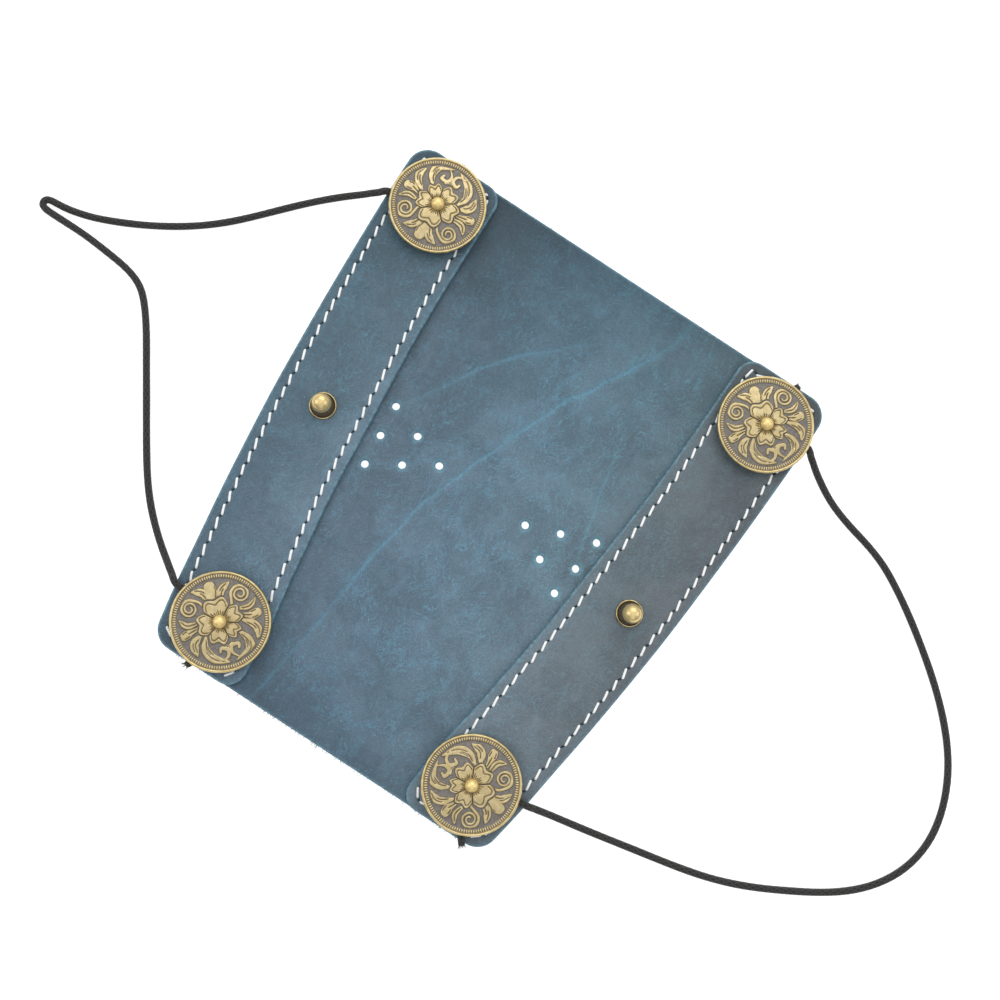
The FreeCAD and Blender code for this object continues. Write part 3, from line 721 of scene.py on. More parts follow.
def panel_piece(name, sx, outer):
    """One length of the sheet: sx is the side, outer is True for the part beyond the seam line."""
    (a0, a1) = SEAM_LINE
    if not outer:
        bottom = segment((0, -END), (sx * a0, -END))
        right = segment((sx * a0, -END), (sx * a1, END), 260)
        topl = segment((sx * a1, END), (0, END))
        left = segment((0, END), (0, -END), 260)
        parts, radii, seams = [bottom, right, topl, left], [0, 0, 0, 0], (1, 3)
    else:
        s0, s1 = SIDE[0][1], SIDE[-1][1]
        bottom = segment((sx * a0, -END), (sx * s0, -END), 200)
        right = side_points(SIDE, sx, -END, END)
        topl = segment((sx * s1, END), (sx * a1, END), 200)
        left = segment((sx * a1, END), (sx * a0, -END), 260)
        parts, radii, seams = [bottom, right, topl, left], [OUTER_R, OUTER_R, 0, 0], (3,)
    if sx < 0:                                   # keep the loop counter-clockwise
        parts = [p[::-1] for p in parts[::-1]]
        radii = [radii[2], radii[1], radii[0], radii[3]]
        seams = tuple(3 - s for s in seams)
    gap = 0.8
    outline = chain(parts, radii)
    # resample each stretch between the seam corners evenly, so that neighbours share their seam points
    corners = []
    for s in seams:
        corners += [parts[s][0], parts[s][-1]]
    idx = sorted({int(np.argmin(np.linalg.norm(outline - c, axis=1))) for c in corners})
    out = []
    for i, a in enumerate(idx):
        b = idx[(i + 1) % len(idx)]
        run = outline[a:b + 1] if b > a else np.vstack([outline[a:], outline[:b + 1]])
        out.append(even(run, gap)[:-1])
    base = np.vstack(out)
    nrm = normals(base)
    dirs = nrm.copy()
    for s in seams:
        p, q = parts[s][0], parts[s][-1]
        t = (q - p) / np.linalg.norm(q - p)
        rel = base - p
        on = (np.abs(rel[:, 0] * t[1] - rel[:, 1] * t[0]) < 1e-4) & (rel @ t > -1e-4) & (rel @ t < np.linalg.norm(q - p) + 1e-4)
        dirs[on] = 0
        for c in (p, q):
            k = int(np.argmin(np.linalg.norm(base - c, axis=1)))
            dirs[k] = (t if c is p else -t) / abs(t[1])
    loops = [{"base": base, "dirs": dirs, "levels": FREE, "outer": True, "clear": gap * 0.62, "top_edge": 0.3}]
    lo_x, hi_x = (0, SEAM_LINE[0]) if not outer else (SEAM_LINE[0], 100)

    def here(x, y):
        m = SEAM_LINE[0] + (SEAM_LINE[1] - SEAM_LINE[0]) * (y + END) / (2 * END)
        return x * sx > 0 and ((abs(x) > m) == outer)

    extra = []
    for vx, vy in VENTS:
        if here(vx, vy):
            h = LEVEL - 0.32
            loops.append(hole_loop(vx, vy, [(VENT_R + 0.18, 0.0), (VENT_R, 0.2), (VENT_R, h - 0.3), (VENT_R + 0.08, h - 0.1), (VENT_R + 0.25, h)], 30, 0.28))
            for r in (VENT_R + 0.55, VENT_R + 0.9, VENT_R + 1.3, VENT_R + 1.75):
                extra.append(circle(vx, vy, r, 30))
    if outer:
        key = "left" if sx < 0 else "right"
        for end in ("elbow", "wrist"):
            c = CONCHO["%s_%s" % (key, end)]
            loops.append(hole_loop(c[0], c[1], [(4.62, 0.0), (4.62, 1.25), (2.13, 1.25), (2.13, LEVEL)], 40, 3.4))
        c = STUD[key]
        loops.append(hole_loop(c[0], c[1], [(3.72, 0.0), (3.72, 1.25), (1.34, 1.25), (1.34, LEVEL)], 36, 3.2))
    extra = [np.array([p for p in e if inside(np.array([p[0]]), np.array([p[1]]), base)[0]]) for e in extra]
    extra = [e for e in extra if len(e)]
    v, f, edge, flesh = slab(name, loops, 0.9, panel_height, lambda x, y: 0.03 * hash_noise(x, y, 3.0, 8), extra)
    pile = Pile()
    rims = sum(len(l["base"]) * len(l["levels"]) for l in loops)
    cr = crease_mask(v[:, 0], v[:, 1]) * (flesh < 0.5)
    # no lighter edge along the seams
    seam = np.zeros(len(v), bool)
    m = SEAM_LINE[0] + (SEAM_LINE[1] - SEAM_LINE[0]) * (v[:, 1] + END) / (2 * END)
    seam |= np.abs(np.abs(v[:, 0]) - m) < 0.05
    if not outer:
        seam |= np.abs(v[:, 0]) < 0.05
    edge = np.where(seam & (np.abs(v[:, 1]) < END - 1.0), 0.0, edge)
    d1, s1 = crease_lines(v[:, 0], v[:, 1], CREASES[:1])
    d2, s2 = crease_lines(v[:, 0], v[:, 1], CREASES[1:])
    top = flesh < 0.5
    pile.add(v, f, edge=edge, flesh=flesh, crease=cr, fold1=d1, power1=s1 * top, fold2=d2, power2=s2 * top)
    ends = np.abs(np.abs(base[:, 1]) - END) < 1e-3
    nearer = ends & (base[:, 1] < 0)
    if nearer.any():
        fibres(pile, base[nearer], -nrm[nearer], 60 if not outer else 70, 31 + sx + 5 * outer, z=(0.3, 2.1))
    if (ends & ~nearer).any():
        k = ends & ~nearer
        fibres(pile, base[k], -nrm[k], 22, 61 + sx + 5 * outer, (0.3, 1.0), (0.3, 2.1))
    return pile.done(name, sharp=55)


def perpendicular(fold, sx, before, after):
    """Start and end points square to a fold line, before and after it, on its middle."""
    p = np.array([sx * (fold[0] + fold[1]) / 2, 0.0])
    t = np.array([sx * (fold[1] - fold[0]), 2 * END])
    t /= np.linalg.norm(t)
    out = np.array([t[1], -t[0]]) * (1 if t[1] * sx > 0 else -1)
    return tuple(np.append(p - out * before, 0) * MM), tuple(np.append(p + out * after, 0) * MM)


PANEL = {}
for side, sx in (("left", -1), ("right", 1)):
    a = panel_piece("panel_sheet_%s_a" % side, sx, False)
    b = panel_piece("panel_sheet_%s_b" % side, sx, True)
    perpendicular(FOLD_IN, sx, 7.6, 7.6)
    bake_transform(a)
    perpendicular(FOLD_OUT, sx, 7.6, 3.2)
    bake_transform(b)
    for o in (a, b):
        PANEL[o.name] = o
    if side == "left":
        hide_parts("panel_center", "panel_left_inner")
    else:
        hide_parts("panel_right_inner")
    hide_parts("panel_%s_flank" % side)

# ---------------------------------------------------------------- bands and their stitches
BAND, THREAD = {}, {}
PITCH, DASH, SLANT = 5.13, 3.55, math.radians(15.5)


def band_outline(sx):
    i0, i1, s0, s1 = INNER[0][1], INNER[-1][1], SIDE[0][1], SIDE[-1][1]
    parts = [segment((i0, -END), (s0, -END)), side_points(SIDE, 1, -END, END), segment((s1, END), (i1, END)), side_points(INNER, 1, -END, END)[::-1]]
    loop = chain(parts, [OUTER_R, OUTER_R, INNER_R, INNER_R])
    if sx < 0:
        loop = (loop * [-1, 1])[::-1]
    return loop


for side, sx in (("left", -1), ("right", 1)):
    outline = even(band_outline(sx), 0.55, True)
    nrm = normals(outline)
    seam = even(outline + nrm * SEAM_INSET, 0.25, True)
    n = int(round(len(seam) * 0.25 / PITCH))
    st = normals(seam)
    at = (np.arange(n) + 0.35) * len(seam) / n
    gap_at = (at + len(seam) / n / 2) % len(seam)
    rng = np.random.default_rng(7 + sx)

    def frame_at(k):
        i = int(k) % len(seam)
        nx, ny = st[i]
        return seam[i], np.array([ny, -nx])            # place, direction of the seam

    stitches, slits = [], []
    for k in at:
        c, d = frame_at(k)
        w = SLANT + rng.normal(0, 0.035)
        stitches.append((c + rng.normal(0, 0.05, 2), np.array([d[0] * math.cos(w) - d[1] * math.sin(w), d[0] * math.sin(w) + d[1] * math.cos(w)])))
    for k in gap_at:
        c, d = frame_at(k)
        w = math.radians(-24)
        slits.append((c, np.array([d[0] * math.cos(w) - d[1] * math.sin(w), d[0] * math.sin(w) + d[1] * math.cos(w)])))
    SC, SD = np.array([s[0] for s in stitches]), np.array([s[1] for s in stitches])
    GC, GD = np.array([s[0] for s in slits]), np.array([s[1] for s in slits])

    def pressed(x, y, slit=False):
        """How deep the awl slits and the pulled stitches press the leather."""
        h = np.zeros(x.shape)
        hot = near_loop(x, y, even(seam, 0.6, True), 2.6) < 2.5
        px, py = x[hot], y[hot]
        out = np.zeros(px.shape)
        for s in range(0, len(px), 4000):
            qx, qy = px[s:s + 4000, None], py[s:s + 4000, None]
            u = (qx - GC[:, 0]) * GD[:, 0] + (qy - GC[:, 1]) * GD[:, 1]
            v = -(qx - GC[:, 0]) * GD[:, 1] + (qy - GC[:, 1]) * GD[:, 0]
            g = np.exp(-(u / 1.02) ** 4 - (v / 0.42) ** 2)
            if slit:
                out[s:s + 4000] = g.max(1)
                continue
            w = np.exp(-(u / 1.5) ** 2 - (v / 1.0) ** 2)
            u2 = (qx - SC[:, 0]) * SD[:, 0] + (qy - SC[:, 1]) * SD[:, 1]
            v2 = -(qx - SC[:, 0]) * SD[:, 1] + (qy - SC[:, 1]) * SD[:, 0]
            b = np.exp(-(u2 / 1.75) ** 4 - (v2 / 0.55) ** 2)
            out[s:s + 4000] = np.maximum(0.75 * g.max(1), 0.22 * w.max(1)) + 0.16 * b.max(1)
        h[hot] = out
        return h

    def band_height(x, y):
        h = 0.04 * (hash_noise(x, y, 11.0, 21) - 0.5) + 0.03 * (hash_noise(x, y, 4.0, 22) - 0.5)
        return h - pressed(x, y)

    levels = [(0.3, LEVEL + 0.02), (0.06, LEVEL + 0.12), (0.0, LEVEL + 0.3), (0.0, TOP - 0.95), (0.05, TOP - 0.6), (0.2, TOP - 0.3), (0.45, TOP - 0.11), (0.85, TOP)]
    loops = [{"base": outline, "dirs": nrm, "levels": levels, "outer": True, "clear": 0.33, "top_edge": 0.25}]
    for end in ("elbow", "wrist"):
        c = CONCHO["%s_%s" % (side, end)]
        loops.append(hole_loop(c[0], c[1], [(2.13, LEVEL + 0.02), (2.13, TOP)], 30, 0.4))
    c = STUD[side]
    loops.append(hole_loop(c[0], c[1], [(1.34, LEVEL + 0.02), (1.34, TOP)], 24, 0.4))
    v, f, edge, flesh = slab("%s_band" % side, loops, 0.52, band_height, lambda x, y: np.zeros(x.shape))
    # where the awl slits are cut, for the near-black painted shade in them
    slit = pressed(v[:, 0], v[:, 1], True) * (v[:, 2] > LEVEL + 0.5)
    pile = Pile()
    pile.add(v, f, edge=edge, flesh=flesh, crease=0.0, slit=slit)
    k = np.abs(outline[:, 1] + END) < 1e-3
    fibres(pile, outline[k], -nrm[k], 45, 91 + sx, (0.3, 1.1), (LEVEL + 0.3, TOP - 0.6))
    band = pile.done("band_%s_leather" % side, sharp=55)
    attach(band, "%s_flank" % side)
    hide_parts("%s_band" % side)
    BAND[side] = band

    # saddle stitches: each one comes up out of a slit, lies slanted, and goes down into the next
    pile = Pile()
    for (c, d), face in [(s, 1) for s in stitches] + [(s, -1) for s in stitches]:
        if face < 0 and min(math.hypot(*(c - CONCHO["%s_%s" % (side, e)][:2])) for e in ("elbow", "wrist")) < 5.6:
            continue
        half = DASH / 2 + rng.normal(0, 0.06)
        t = np.linspace(-1.16, 1.16, 13)
        bulge = 0.03 * rng.normal()
        zc = (TOP - 0.12) if face > 0 else 0.13
        lift = np.where(np.abs(t) < 0.78, 0.0, -((np.abs(t) - 0.78) / 0.38) ** 1.6 * 0.62) + 0.05 * np.cos(t * 1.3)
        across = np.array([-d[1], d[0]])
        path = np.c_[c[0] + d[0] * t * half + across[0] * bulge * t ** 2, c[1] + d[1] * t * half + across[1] * bulge * t ** 2,
                     zc + face * lift * (1 if face > 0 else 0.55)]
        sides = 12
        ang = np.arange(sides) * 2 * math.pi / sides
        twist = t[:, None] * 5.2 + 0.0
        r = 0.44 * (1 + 0.07 * np.cos(3 * ang[None, :] + twist * 3)) * np.where(np.abs(t) > 1.0, 0.86, 1.0)[:, None]
        vv, ff = tube(path, r, sides, flat=0.62)
        if face < 0:
            vv[:, 2] = np.maximum(vv[:, 2], -0.15)
        pile.add(vv, ff)
    th = pile.done("stitches_%s" % side, sharp=0)
    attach(th, "%s_flank" % side)
    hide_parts("%s_band_thread" % side)
    THREAD[side] = th

# ---------------------------------------------------------------- elastic cords
CORD_R = 1.3
CORD_Z = TOP + 0.24 + CORD_R
POST_R = 3.2
GAP = 1.4
SWING_PTS = {
    "left": ((-91.6, 74.7), (-75.6, -77.3)),
    "right": ((92.6, 80.5), (76.2, -76.9)),
}
LOOP = {
    "left": [
        (-98.7, 69.9), (-107.1, 62.1), (-114.9, 53.6), (-122.4, 44.9), (-130.1, 36.5), (-138.7, 29.1),
        (-148.0, 22.7), (-157.9, 17.1), (-168.1, 12.4), (-172.5, 10.9), (-177.5, 9.5), (-182.0, 8.75), (-185.9, 8.6), (-188.2, 7.9), (-188.2, 5.4),
        (-185.9, 4.7), (-182.0, 4.7), (-177.5, 4.75), (-172.5, 4.8), (-167.2, 4.7), (-155.8, 3.7), (-150.1, 3.0),
        (-144.5, 1.4), (-139.6, -1.7), (-132.3, -10.6), (-125.9, -20.1), (-119.3, -29.6), (-112.9, -39.0),
        (-106.4, -48.4), (-99.7, -57.5), (-91.9, -65.7), (-83.1, -72.8),
    ],
    "right": [
        (104.4, 73.2), (111.2, 70.5), (118.0, 68.4), (125.1, 66.8), (131.9, 64.7), (138.5, 61.9), (150.7, 54.5),
        (162.3, 46.1), (173.4, 37.3), (183.6, 27.5), (192.4, 16.4), (198.4, 3.7), (201.2, -10.1),
        (198.7, -24.0), (191.1, -36.2), (180.1, -45.4), (167.7, -52.4), (155.0, -59.0), (141.8, -64.1),
        (128.1, -67.4), (114.2, -70.0), (100.4, -72.8), (86.6, -75.3),
    ],
}
EXIT = {"left_elbow": (-1.2, 16.5), "right_elbow": (3.1, 18.9), "left_wrist": (1.7, 18.9), "right_wrist": (8.6, 19.2)}
CORD = {}

for side, sx in (("left", -1), ("right", 1)):
    (ex, ey), (wx, wy) = SWING_PTS[side]
    loop = [(x, y, CORD_R) for x, y in LOOP[side]]
    loop[0], loop[-1] = loop[0][:2] + (CORD_R + 0.22,), loop[-1][:2] + (CORD_R + 0.22,)

    def near(x, y, d, z):
        tx, ty = (loop[0][0] - x, loop[0][1] - y) if (x, y) == (ex, ey) else (loop[-1][0] - x, loop[-1][1] - y)
        m = math.hypot(tx, ty)
        return (x + tx / m * d, y + ty / m * d, z)

    free = bspline([near(ex, ey, GAP * 1.08, 4.05), near(ex, ey, 4.2, 2.45)] + loop + [near(wx, wy, 4.2, 2.45), near(wx, wy, GAP * 1.08, 4.05)], 1800)
    ends = {}
    for key, (hx, hy), end in (("elbow", (ex, ey), 1), ("wrist", (wx, wy), -1)):
        px, py = CONCHO["%s_%s" % (side, key)][:2]
        tgt = loop[0] if key == "elbow" else loop[-1]
        tx, ty = hx - tgt[0], hy - tgt[1]
        m = math.hypot(tx, ty)
        tx, ty = tx / m, ty / m
        turn = POST_R + 0.75 + CORD_R
        ox, oy = EXIT["%s_%s" % (side, key)]
        qx, qy = hx + tx * 5.6, hy + ty * 5.6
        ux, uy = -sx * (qx - px), end * (qy - py)
        a0 = math.degrees(math.atan2(uy, ux) + math.acos(turn / math.hypot(ux, uy))) - 360 * (uy > 0)
        spread = 6 / (4 + 2 * math.cos(math.radians(26)))
        wrap, a = [], a0 + 4
        while a < 24:
            r = math.radians(a)
            wrap.append((px - sx * turn * spread * math.cos(r), py + end * turn * spread * math.sin(r), CORD_Z))
            a += 26
        bx, by, _ = wrap[0]
        lead = [(hx + tx * GAP * 1.08, hy + ty * GAP * 1.08, 5.05), (hx + tx * 2.6, hy + ty * 2.6, 6.42), (hx + tx * 3.9, hy + ty * 3.9, 6.55),
                (qx, qy, CORD_Z + 0.02), ((2 * qx + bx) / 3, (2 * qy + by) / 3, CORD_Z), ((qx + 2 * bx) / 3, (qy + 2 * by) / 3, CORD_Z)]
        sxo = sx * ox if side == "right" else -ox if key == "wrist" else ox
        tail_end = (px + sxo, py + end * oy, CORD_Z)
        w1 = wrap[-1]
        tail = [((2 * w1[0] + tail_end[0]) / 3, (2 * w1[1] + tail_end[1]) / 3, CORD_Z), ((w1[0] + 2 * tail_end[0]) / 3, (w1[1] + 2 * tail_end[1]) / 3, CORD_Z), tail_end]
        ends[key] = bspline(lead + wrap + tail, 500)
    line = np.vstack([ends["elbow"][::-1], free, ends["wrist"]])
    line = even(line, 0.27)
    kern = np.exp(-(np.arange(-6, 7) / 3.0) ** 2)
    kern /= kern.sum()
    sm = np.stack([np.convolve(np.pad(line[:, i], 6, mode="edge"), kern, mode="valid") for i in range(3)], 1)
    sm[:8], sm[-8:] = line[:8], line[-8:]
    line = even(sm, 0.27)
    s = np.concatenate([[0], np.cumsum(np.linalg.norm(np.diff(line, axis=0), axis=1))])
    sides = 24
    ang = np.arange(sides) * 2 * math.pi / sides
    # a plaited cover: two sets of yarns that wind opposite ways
    k, lay = 6, 2.9
    ph = 2 * math.pi * s[:, None] / lay
    one, two = np.cos(k * ang[None, :] + ph), np.cos(k * ang[None, :] - ph)
    braid = np.maximum(one, two)
    r = CORD_R * (1 - 0.035 + 0.035 * braid + 0.012 * np.sin(s / 3.1)[:, None])
    taper = np.minimum(1, 0.86 + 0.14 * np.minimum(s, s[-1] - s) / 0.5)[:, None]
    v, f = tube(line, r * taper, sides)
    pile = Pile()
    # plait: 1 on the yarn crests, 0 in the grooves between them, for the painted shade in the grooves
    plait = np.concatenate([((braid + 1) / 2).ravel(), [0.2, 0.2]])
    pile.add(v, f, plait=plait, core=np.concatenate([np.zeros(len(v) - 2), [1, 1]]), along=np.concatenate([np.repeat(s, sides), [0, s[-1]]]))
    rng = np.random.default_rng(55 + sx)
    for p, q, most in ((line[0], line[4], 2.0 if side == "left" else 0.9), (line[-1], line[-5], 2.0)):
        d = (p - q) / np.linalg.norm(p - q)
        a1 = np.cross(d, (0, 0, 1))
        a1 /= np.linalg.norm(a1)
        a2 = np.cross(d, a1)
        # the rubber core stands out of the cut end a little
        cv, cf = tube(np.array([p - d * 0.4, p + d * 0.1, p + d * 0.22]), [0.72, 0.74, 0.62], 14)
        pile.add(cv, cf, plait=0.5, core=1.0)
        for _ in range(46):
            w = rng.uniform(0, 2 * math.pi)
            o = a1 * math.cos(w) + a2 * math.sin(w)
            length = rng.uniform(0.3, most)
            t = np.linspace(0, 1, 5)[:, None]
            path = p + o * rng.uniform(0.75, 1.1) - d * 0.3 + d * t * length + o * t ** 2 * rng.uniform(-0.1, 0.9) * length
            fv, ff = tube(path, np.linspace(0.06, 0.03, 5), 4)
            pile.add(fv, ff, plait=0.9, core=0.0)
    o = pile.done("cord_%s" % side, sharp=0)
    axis = np.array([wx - ex, wy - ey, 0.0])
    axis /= np.linalg.norm(axis)
    out = np.cross(axis, (0, 0, 1)) * -1
    if out[0] * sx < 0:
        out = -out
    p = np.array([(ex + wx) / 2, (ey + wy) / 2, 4.6])
    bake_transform(o)
    names = ["%s_cord_loop" % side, "%s_cord_elbow_end" % side, "%s_cord_wrist_end" % side]
    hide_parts(*(names + [n + "_core" for n in names]))
    CORD[side] = o


# ---------------------------------------------------------------- conchos
CR = 17.5
TURN = {"left_wrist": 33.0, "right_elbow": 33.0, "left_elbow": 163.5, "right_wrist": 244.0}
COLS = 720
# the work's relief once, on rings of the sunk field, in the rosette's own axes; each concho turns it by whole columns
FIELD = np.linspace(14.72, 2.55, 68)
_th = np.arange(COLS) * 2 * math.pi / COLS
_r = np.repeat(FIELD[:, None], COLS, 1)
WORK = rosette((_r / CR * np.cos(_th)).ravel(), (_r / CR * np.sin(_th)).ravel()).reshape(_r.shape)


def concho_mesh(cx, cy, turn):
    th = np.arange(COLS) * 2 * math.pi / COLS
    U = UNDER
    rings, work, field = [], [], []

    def put(r, z, w):
        rings.append((r, z))
        work.append(np.broadcast_to(np.asarray(w, float), (COLS,)))

    # hollow back: bore, post, underside, then the rolled rim
    for r, z in [(2.1, TOP + 0.02), (3.2, TOP + 0.02), (3.2, U + 0.6), (3.25, U + 1.0), (8.0, U + 0.95), (12.5, U + 0.72), (14.8, U + 0.2), (15.2, U + 0.03), (16.6, U + 0.03)]:
        put(r, z, 0.35)
    for a in (-62, -40, -20, 0, 22, 44, 66, 84, 100, 118, 138, 156):
        t = math.radians(a)
        put(16.965 + 0.535 * math.cos(t), U + 0.78 + 0.72 * math.sin(t), 1.0)
    tick = 0.5 + 0.5 * np.cos(120 * th)
    tick = step(0.28, 0.72, tick)
    for r, m in ((16.38, 0.15), (16.22, 0.85), (16.0, 1.0), (15.75, 1.0), (15.45, 1.0), (15.25, 0.8), (15.12, 0.25)):
        put(r, U + 0.92 + 0.34 * m * tick + 0.1 * (1 - abs(r - 15.75) / 0.65), 0.12 + 0.88 * tick * (m > 0.2))
    put(15.0, U + 0.88, 0.1)
    put(14.88, U + 0.74, 0.0)
    for r, h in zip(FIELD, np.roll(WORK, int(round(turn * COLS / 360.0)), axis=1)):
        hammer = 0.035 * (hash_noise(r * np.cos(th) + 50, r * np.sin(th) + 50, 0.7, 41) - 0.5)
        base = U + 0.72 + 0.85 * (1 - (r / 15.0) ** 2)
        h = h * step(14.8, 14.2, r)
        # the raised work is brightest along its outlines, duller on its flats
        put(r, base + 0.56 * h + hammer * (1 - np.clip(h, 0, 1)), np.clip(h, 0, 1) - 0.34 * step(0.80, 0.97, h))
    for a in np.linspace(0, 84, 11):
        t = math.radians(a)
        put(2.38 * math.cos(t), U + 2.52 + 2.36 * math.sin(t), 1.0 if a > 4 else 0.3)
    rings.append((0, U + 4.88))
    v, f, start = lathe_grid(rings, COLS)
    w = np.concatenate(work + [[1.0]])
    is_ball = (np.hypot(v[:, 0], v[:, 1]) < 2.39) & (v[:, 2] > U + 2.75)
    # close the bore at the back with a blind end
    v2, f2, st2 = lathe_grid([(2.1, TOP + 0.02), (2.1, U + 1.5), (0, U + 1.6)], COLS)
    n = len(v)
    v = np.vstack([v, v2[COLS:]])
    for q in f2:
        f.append([(i if i < COLS else i - COLS + n) for i in q][::-1])
    w = np.concatenate([w, np.full(len(v2) - COLS, 0.2)])
    is_ball = np.concatenate([is_ball, np.zeros(len(v2) - COLS, bool)])
    v[:, 0] += cx
    v[:, 1] += cy
    return v, f, w, is_ball * 1.0


CONCHOS = {}
for key in ("left_elbow", "right_elbow", "left_wrist", "right_wrist"):
    cx, cy, _ = CONCHO[key]
    v, f, w, ball = concho_mesh(cx, cy, TURN[key])
    o = make("concho_%s" % key, v, f, {"relief": w, "ball": ball}, sharp=0)
    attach(o, "%s_concho_set" % key)
    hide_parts("%s_concho" % key)
    CONCHOS[key] = o

# ---------------------------------------------------------------- button studs
STUDS = {}
for side in ("left", "right"):
    cx, cy, _ = STUD[side]
    z, R = TOP + 0.02, 4.9
    prof = [(1.3, z), (R - 0.25, z), (R - 0.08, z + 0.06), (R, z + 0.22), (R, z + 0.72)]
    prof += [(R - 0.34 + 0.34 * math.cos(math.radians(a)), z + 0.8 + 0.36 * math.sin(math.radians(a))) for a in (0, 25, 50, 75, 95, 120, 145, 165)]
    prof += [(4.1, z + 0.82), (3.85, z + 0.72), (3.4, z + 0.66), (2.9, z + 0.68), (2.5, z + 0.76), (2.25, z + 0.92), (2.08, z + 1.2), (1.96, z + 1.6), (1.92, z + 2.1), (1.92, z + 2.9)]
    bz, br = TOP + 7.1, 3.5
    a0 = -math.degrees(math.acos(1.92 / br))
    prof += [(br * math.cos(math.radians(a)), bz + br * math.sin(math.radians(a))) for a in np.linspace(a0, 88.5, 40)]
    # a shallow flat struck on top of the ball
    prof = [(r, min(h, bz + br - 0.06 - 0.02 * (1 - (r / 1.2) ** 2) if r < 1.2 else h)) for r, h in prof]
    prof.append((0, bz + br - 0.085))
    v, f, _ = lathe_grid(prof, 96)
    v2, f2, _ = lathe_grid([(1.3, z), (1.3, z + 4.5), (0, z + 4.6)], 96)
    n = len(v)
    v = np.vstack([v, v2[96:]])
    for q in f2:
        f.append([(i if i < 96 else i - 96 + n) for i in q][::-1])
    rr = np.hypot(v[:, 0], v[:, 1])
    rub = np.where(v[:, 2] > z + 2.5, 0.55 + 0.45 * step(bz - 2.0, bz + 3.0, v[:, 2]), np.where(rr > 4.35, 1.0, 0.0))
    v[:, 0] += cx
    v[:, 1] += cy
    o = make("stud_%s" % side, v, f, {"relief": rub, "ball": 0.85 * (v[:, 2] > z + 3.2)}, sharp=50)
    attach(o, "%s_stud_set" % side)
    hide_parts("%s_stud" % side)
    STUDS[side] = o


# ---------------------------------------------------------------- materials
class Mat:
    """A node material written as formulas. Sockets, numbers and colours can be given as inputs."""

    def __init__(self, name, dims="3D"):
        self.dims = dims
        self.m = bpy.data.materials.new(name)
        self.m.use_nodes = True
        self.t = self.m.node_tree
        self.t.nodes.clear()
        self.bsdf = self.node("ShaderNodeBsdfPrincipled")
        out = self.node("ShaderNodeOutputMaterial")
        self.t.links.new(self.bsdf.outputs[0], out.inputs[0])

    def node(self, kind, **props):
        n = self.t.nodes.new(kind)
        for k, v in props.items():
            setattr(n, k, v)
        return n

    def feed(self, socket, value):
        if isinstance(value, bpy.types.NodeSocket):
            self.t.links.new(value, socket)
        elif value is not None:
            if hasattr(socket.default_value, "__len__") and not hasattr(value, "__len__"):
                value = [value] * len(socket.default_value)
            if hasattr(socket.default_value, "__len__") and len(socket.default_value) == 4 and len(value) == 3:
                value = list(value) + [1.0]
            socket.default_value = value

    def attr(self, name):
        return self.node("ShaderNodeAttribute", attribute_name=name, attribute_type="GEOMETRY")

    def fac(self, name):
        return self.attr(name).outputs["Fac"]

    def place(self):
        return self.attr("rest").outputs["Vector"]

    def math(self, op, a, b=None, c=None, clamp=False):
        n = self.node("ShaderNodeMath", operation=op, use_clamp=clamp)
        for s, v in zip(n.inputs, (a, b, c)):
            if v is not None:
                self.feed(s, v)
        return n.outputs[0]

    def vec(self, op, a, b=None, scale=None):
        n = self.node("ShaderNodeVectorMath", operation=op)
        self.feed(n.inputs[0], a)
        if b is not None:
            self.feed(n.inputs[1], b)
        if scale is not None:
            self.feed(n.inputs["Scale"], scale)
        return n.outputs[0]

    def noise(self, p, scale, detail=3.0, rough=0.5, color=False, distort=0.0):
        n = self.node("ShaderNodeTexNoise", noise_dimensions=self.dims)
        self.feed(n.inputs["Vector"], p)
        n.inputs["Scale"].default_value = scale
        n.inputs["Detail"].default_value = detail
        n.inputs["Roughness"].default_value = rough
        n.inputs["Distortion"].default_value = distort
        return n.outputs["Color"] if color else n.outputs[0]

    def cells(self, p, scale, feature="F1", random=1.0, out="Distance"):
        n = self.node("ShaderNodeTexVoronoi", feature=feature, voronoi_dimensions=self.dims)
        self.feed(n.inputs["Vector"], p)
        n.inputs["Scale"].default_value = scale
        n.inputs["Randomness"].default_value = random
        return n.outputs[out]

    def span(self, x, a, b, lo=0.0, hi=1.0, smooth=True):
        n = self.node("ShaderNodeMapRange", interpolation_type="SMOOTHSTEP" if smooth else "LINEAR")
        self.feed(n.inputs[0], x)
        for i, v in zip((1, 2, 3, 4), (a, b, lo, hi)):
            n.inputs[i].default_value = v
        return n.outputs[0]

    def mix(self, f, a, b, mode="MIX"):
        n = self.node("ShaderNodeMix", data_type="RGBA", blend_type=mode)
        n.clamp_factor = True
        self.feed(n.inputs[0], f)
        self.feed(n.inputs[6], a)
        self.feed(n.inputs[7], b)
        return n.outputs[2]

    def bump(self, height, distance, strength=1.0, normal=None):
        n = self.node("ShaderNodeBump")
        self.feed(n.inputs["Height"], height)
        n.inputs["Distance"].default_value = distance
        n.inputs["Strength"].default_value = strength
        if normal is not None:
            self.feed(n.inputs["Normal"], normal)
        return n.outputs[0]

    def set(self, **kw):
        names = {"color": "Base Color", "rough": "Roughness", "metal": "Metallic", "normal": "Normal", "spec": "Specular IOR Level",
                 "coat": "Coat Weight", "coat_rough": "Coat Roughness", "sheen": "Sheen Weight", "sheen_rough": "Sheen Roughness",
                 "sheen_tint": "Sheen Tint", "sss": "Subsurface Weight", "aniso": "Anisotropic"}
        for k, v in kw.items():
            self.feed(self.bsdf.inputs[names[k]], v)
        return self.m


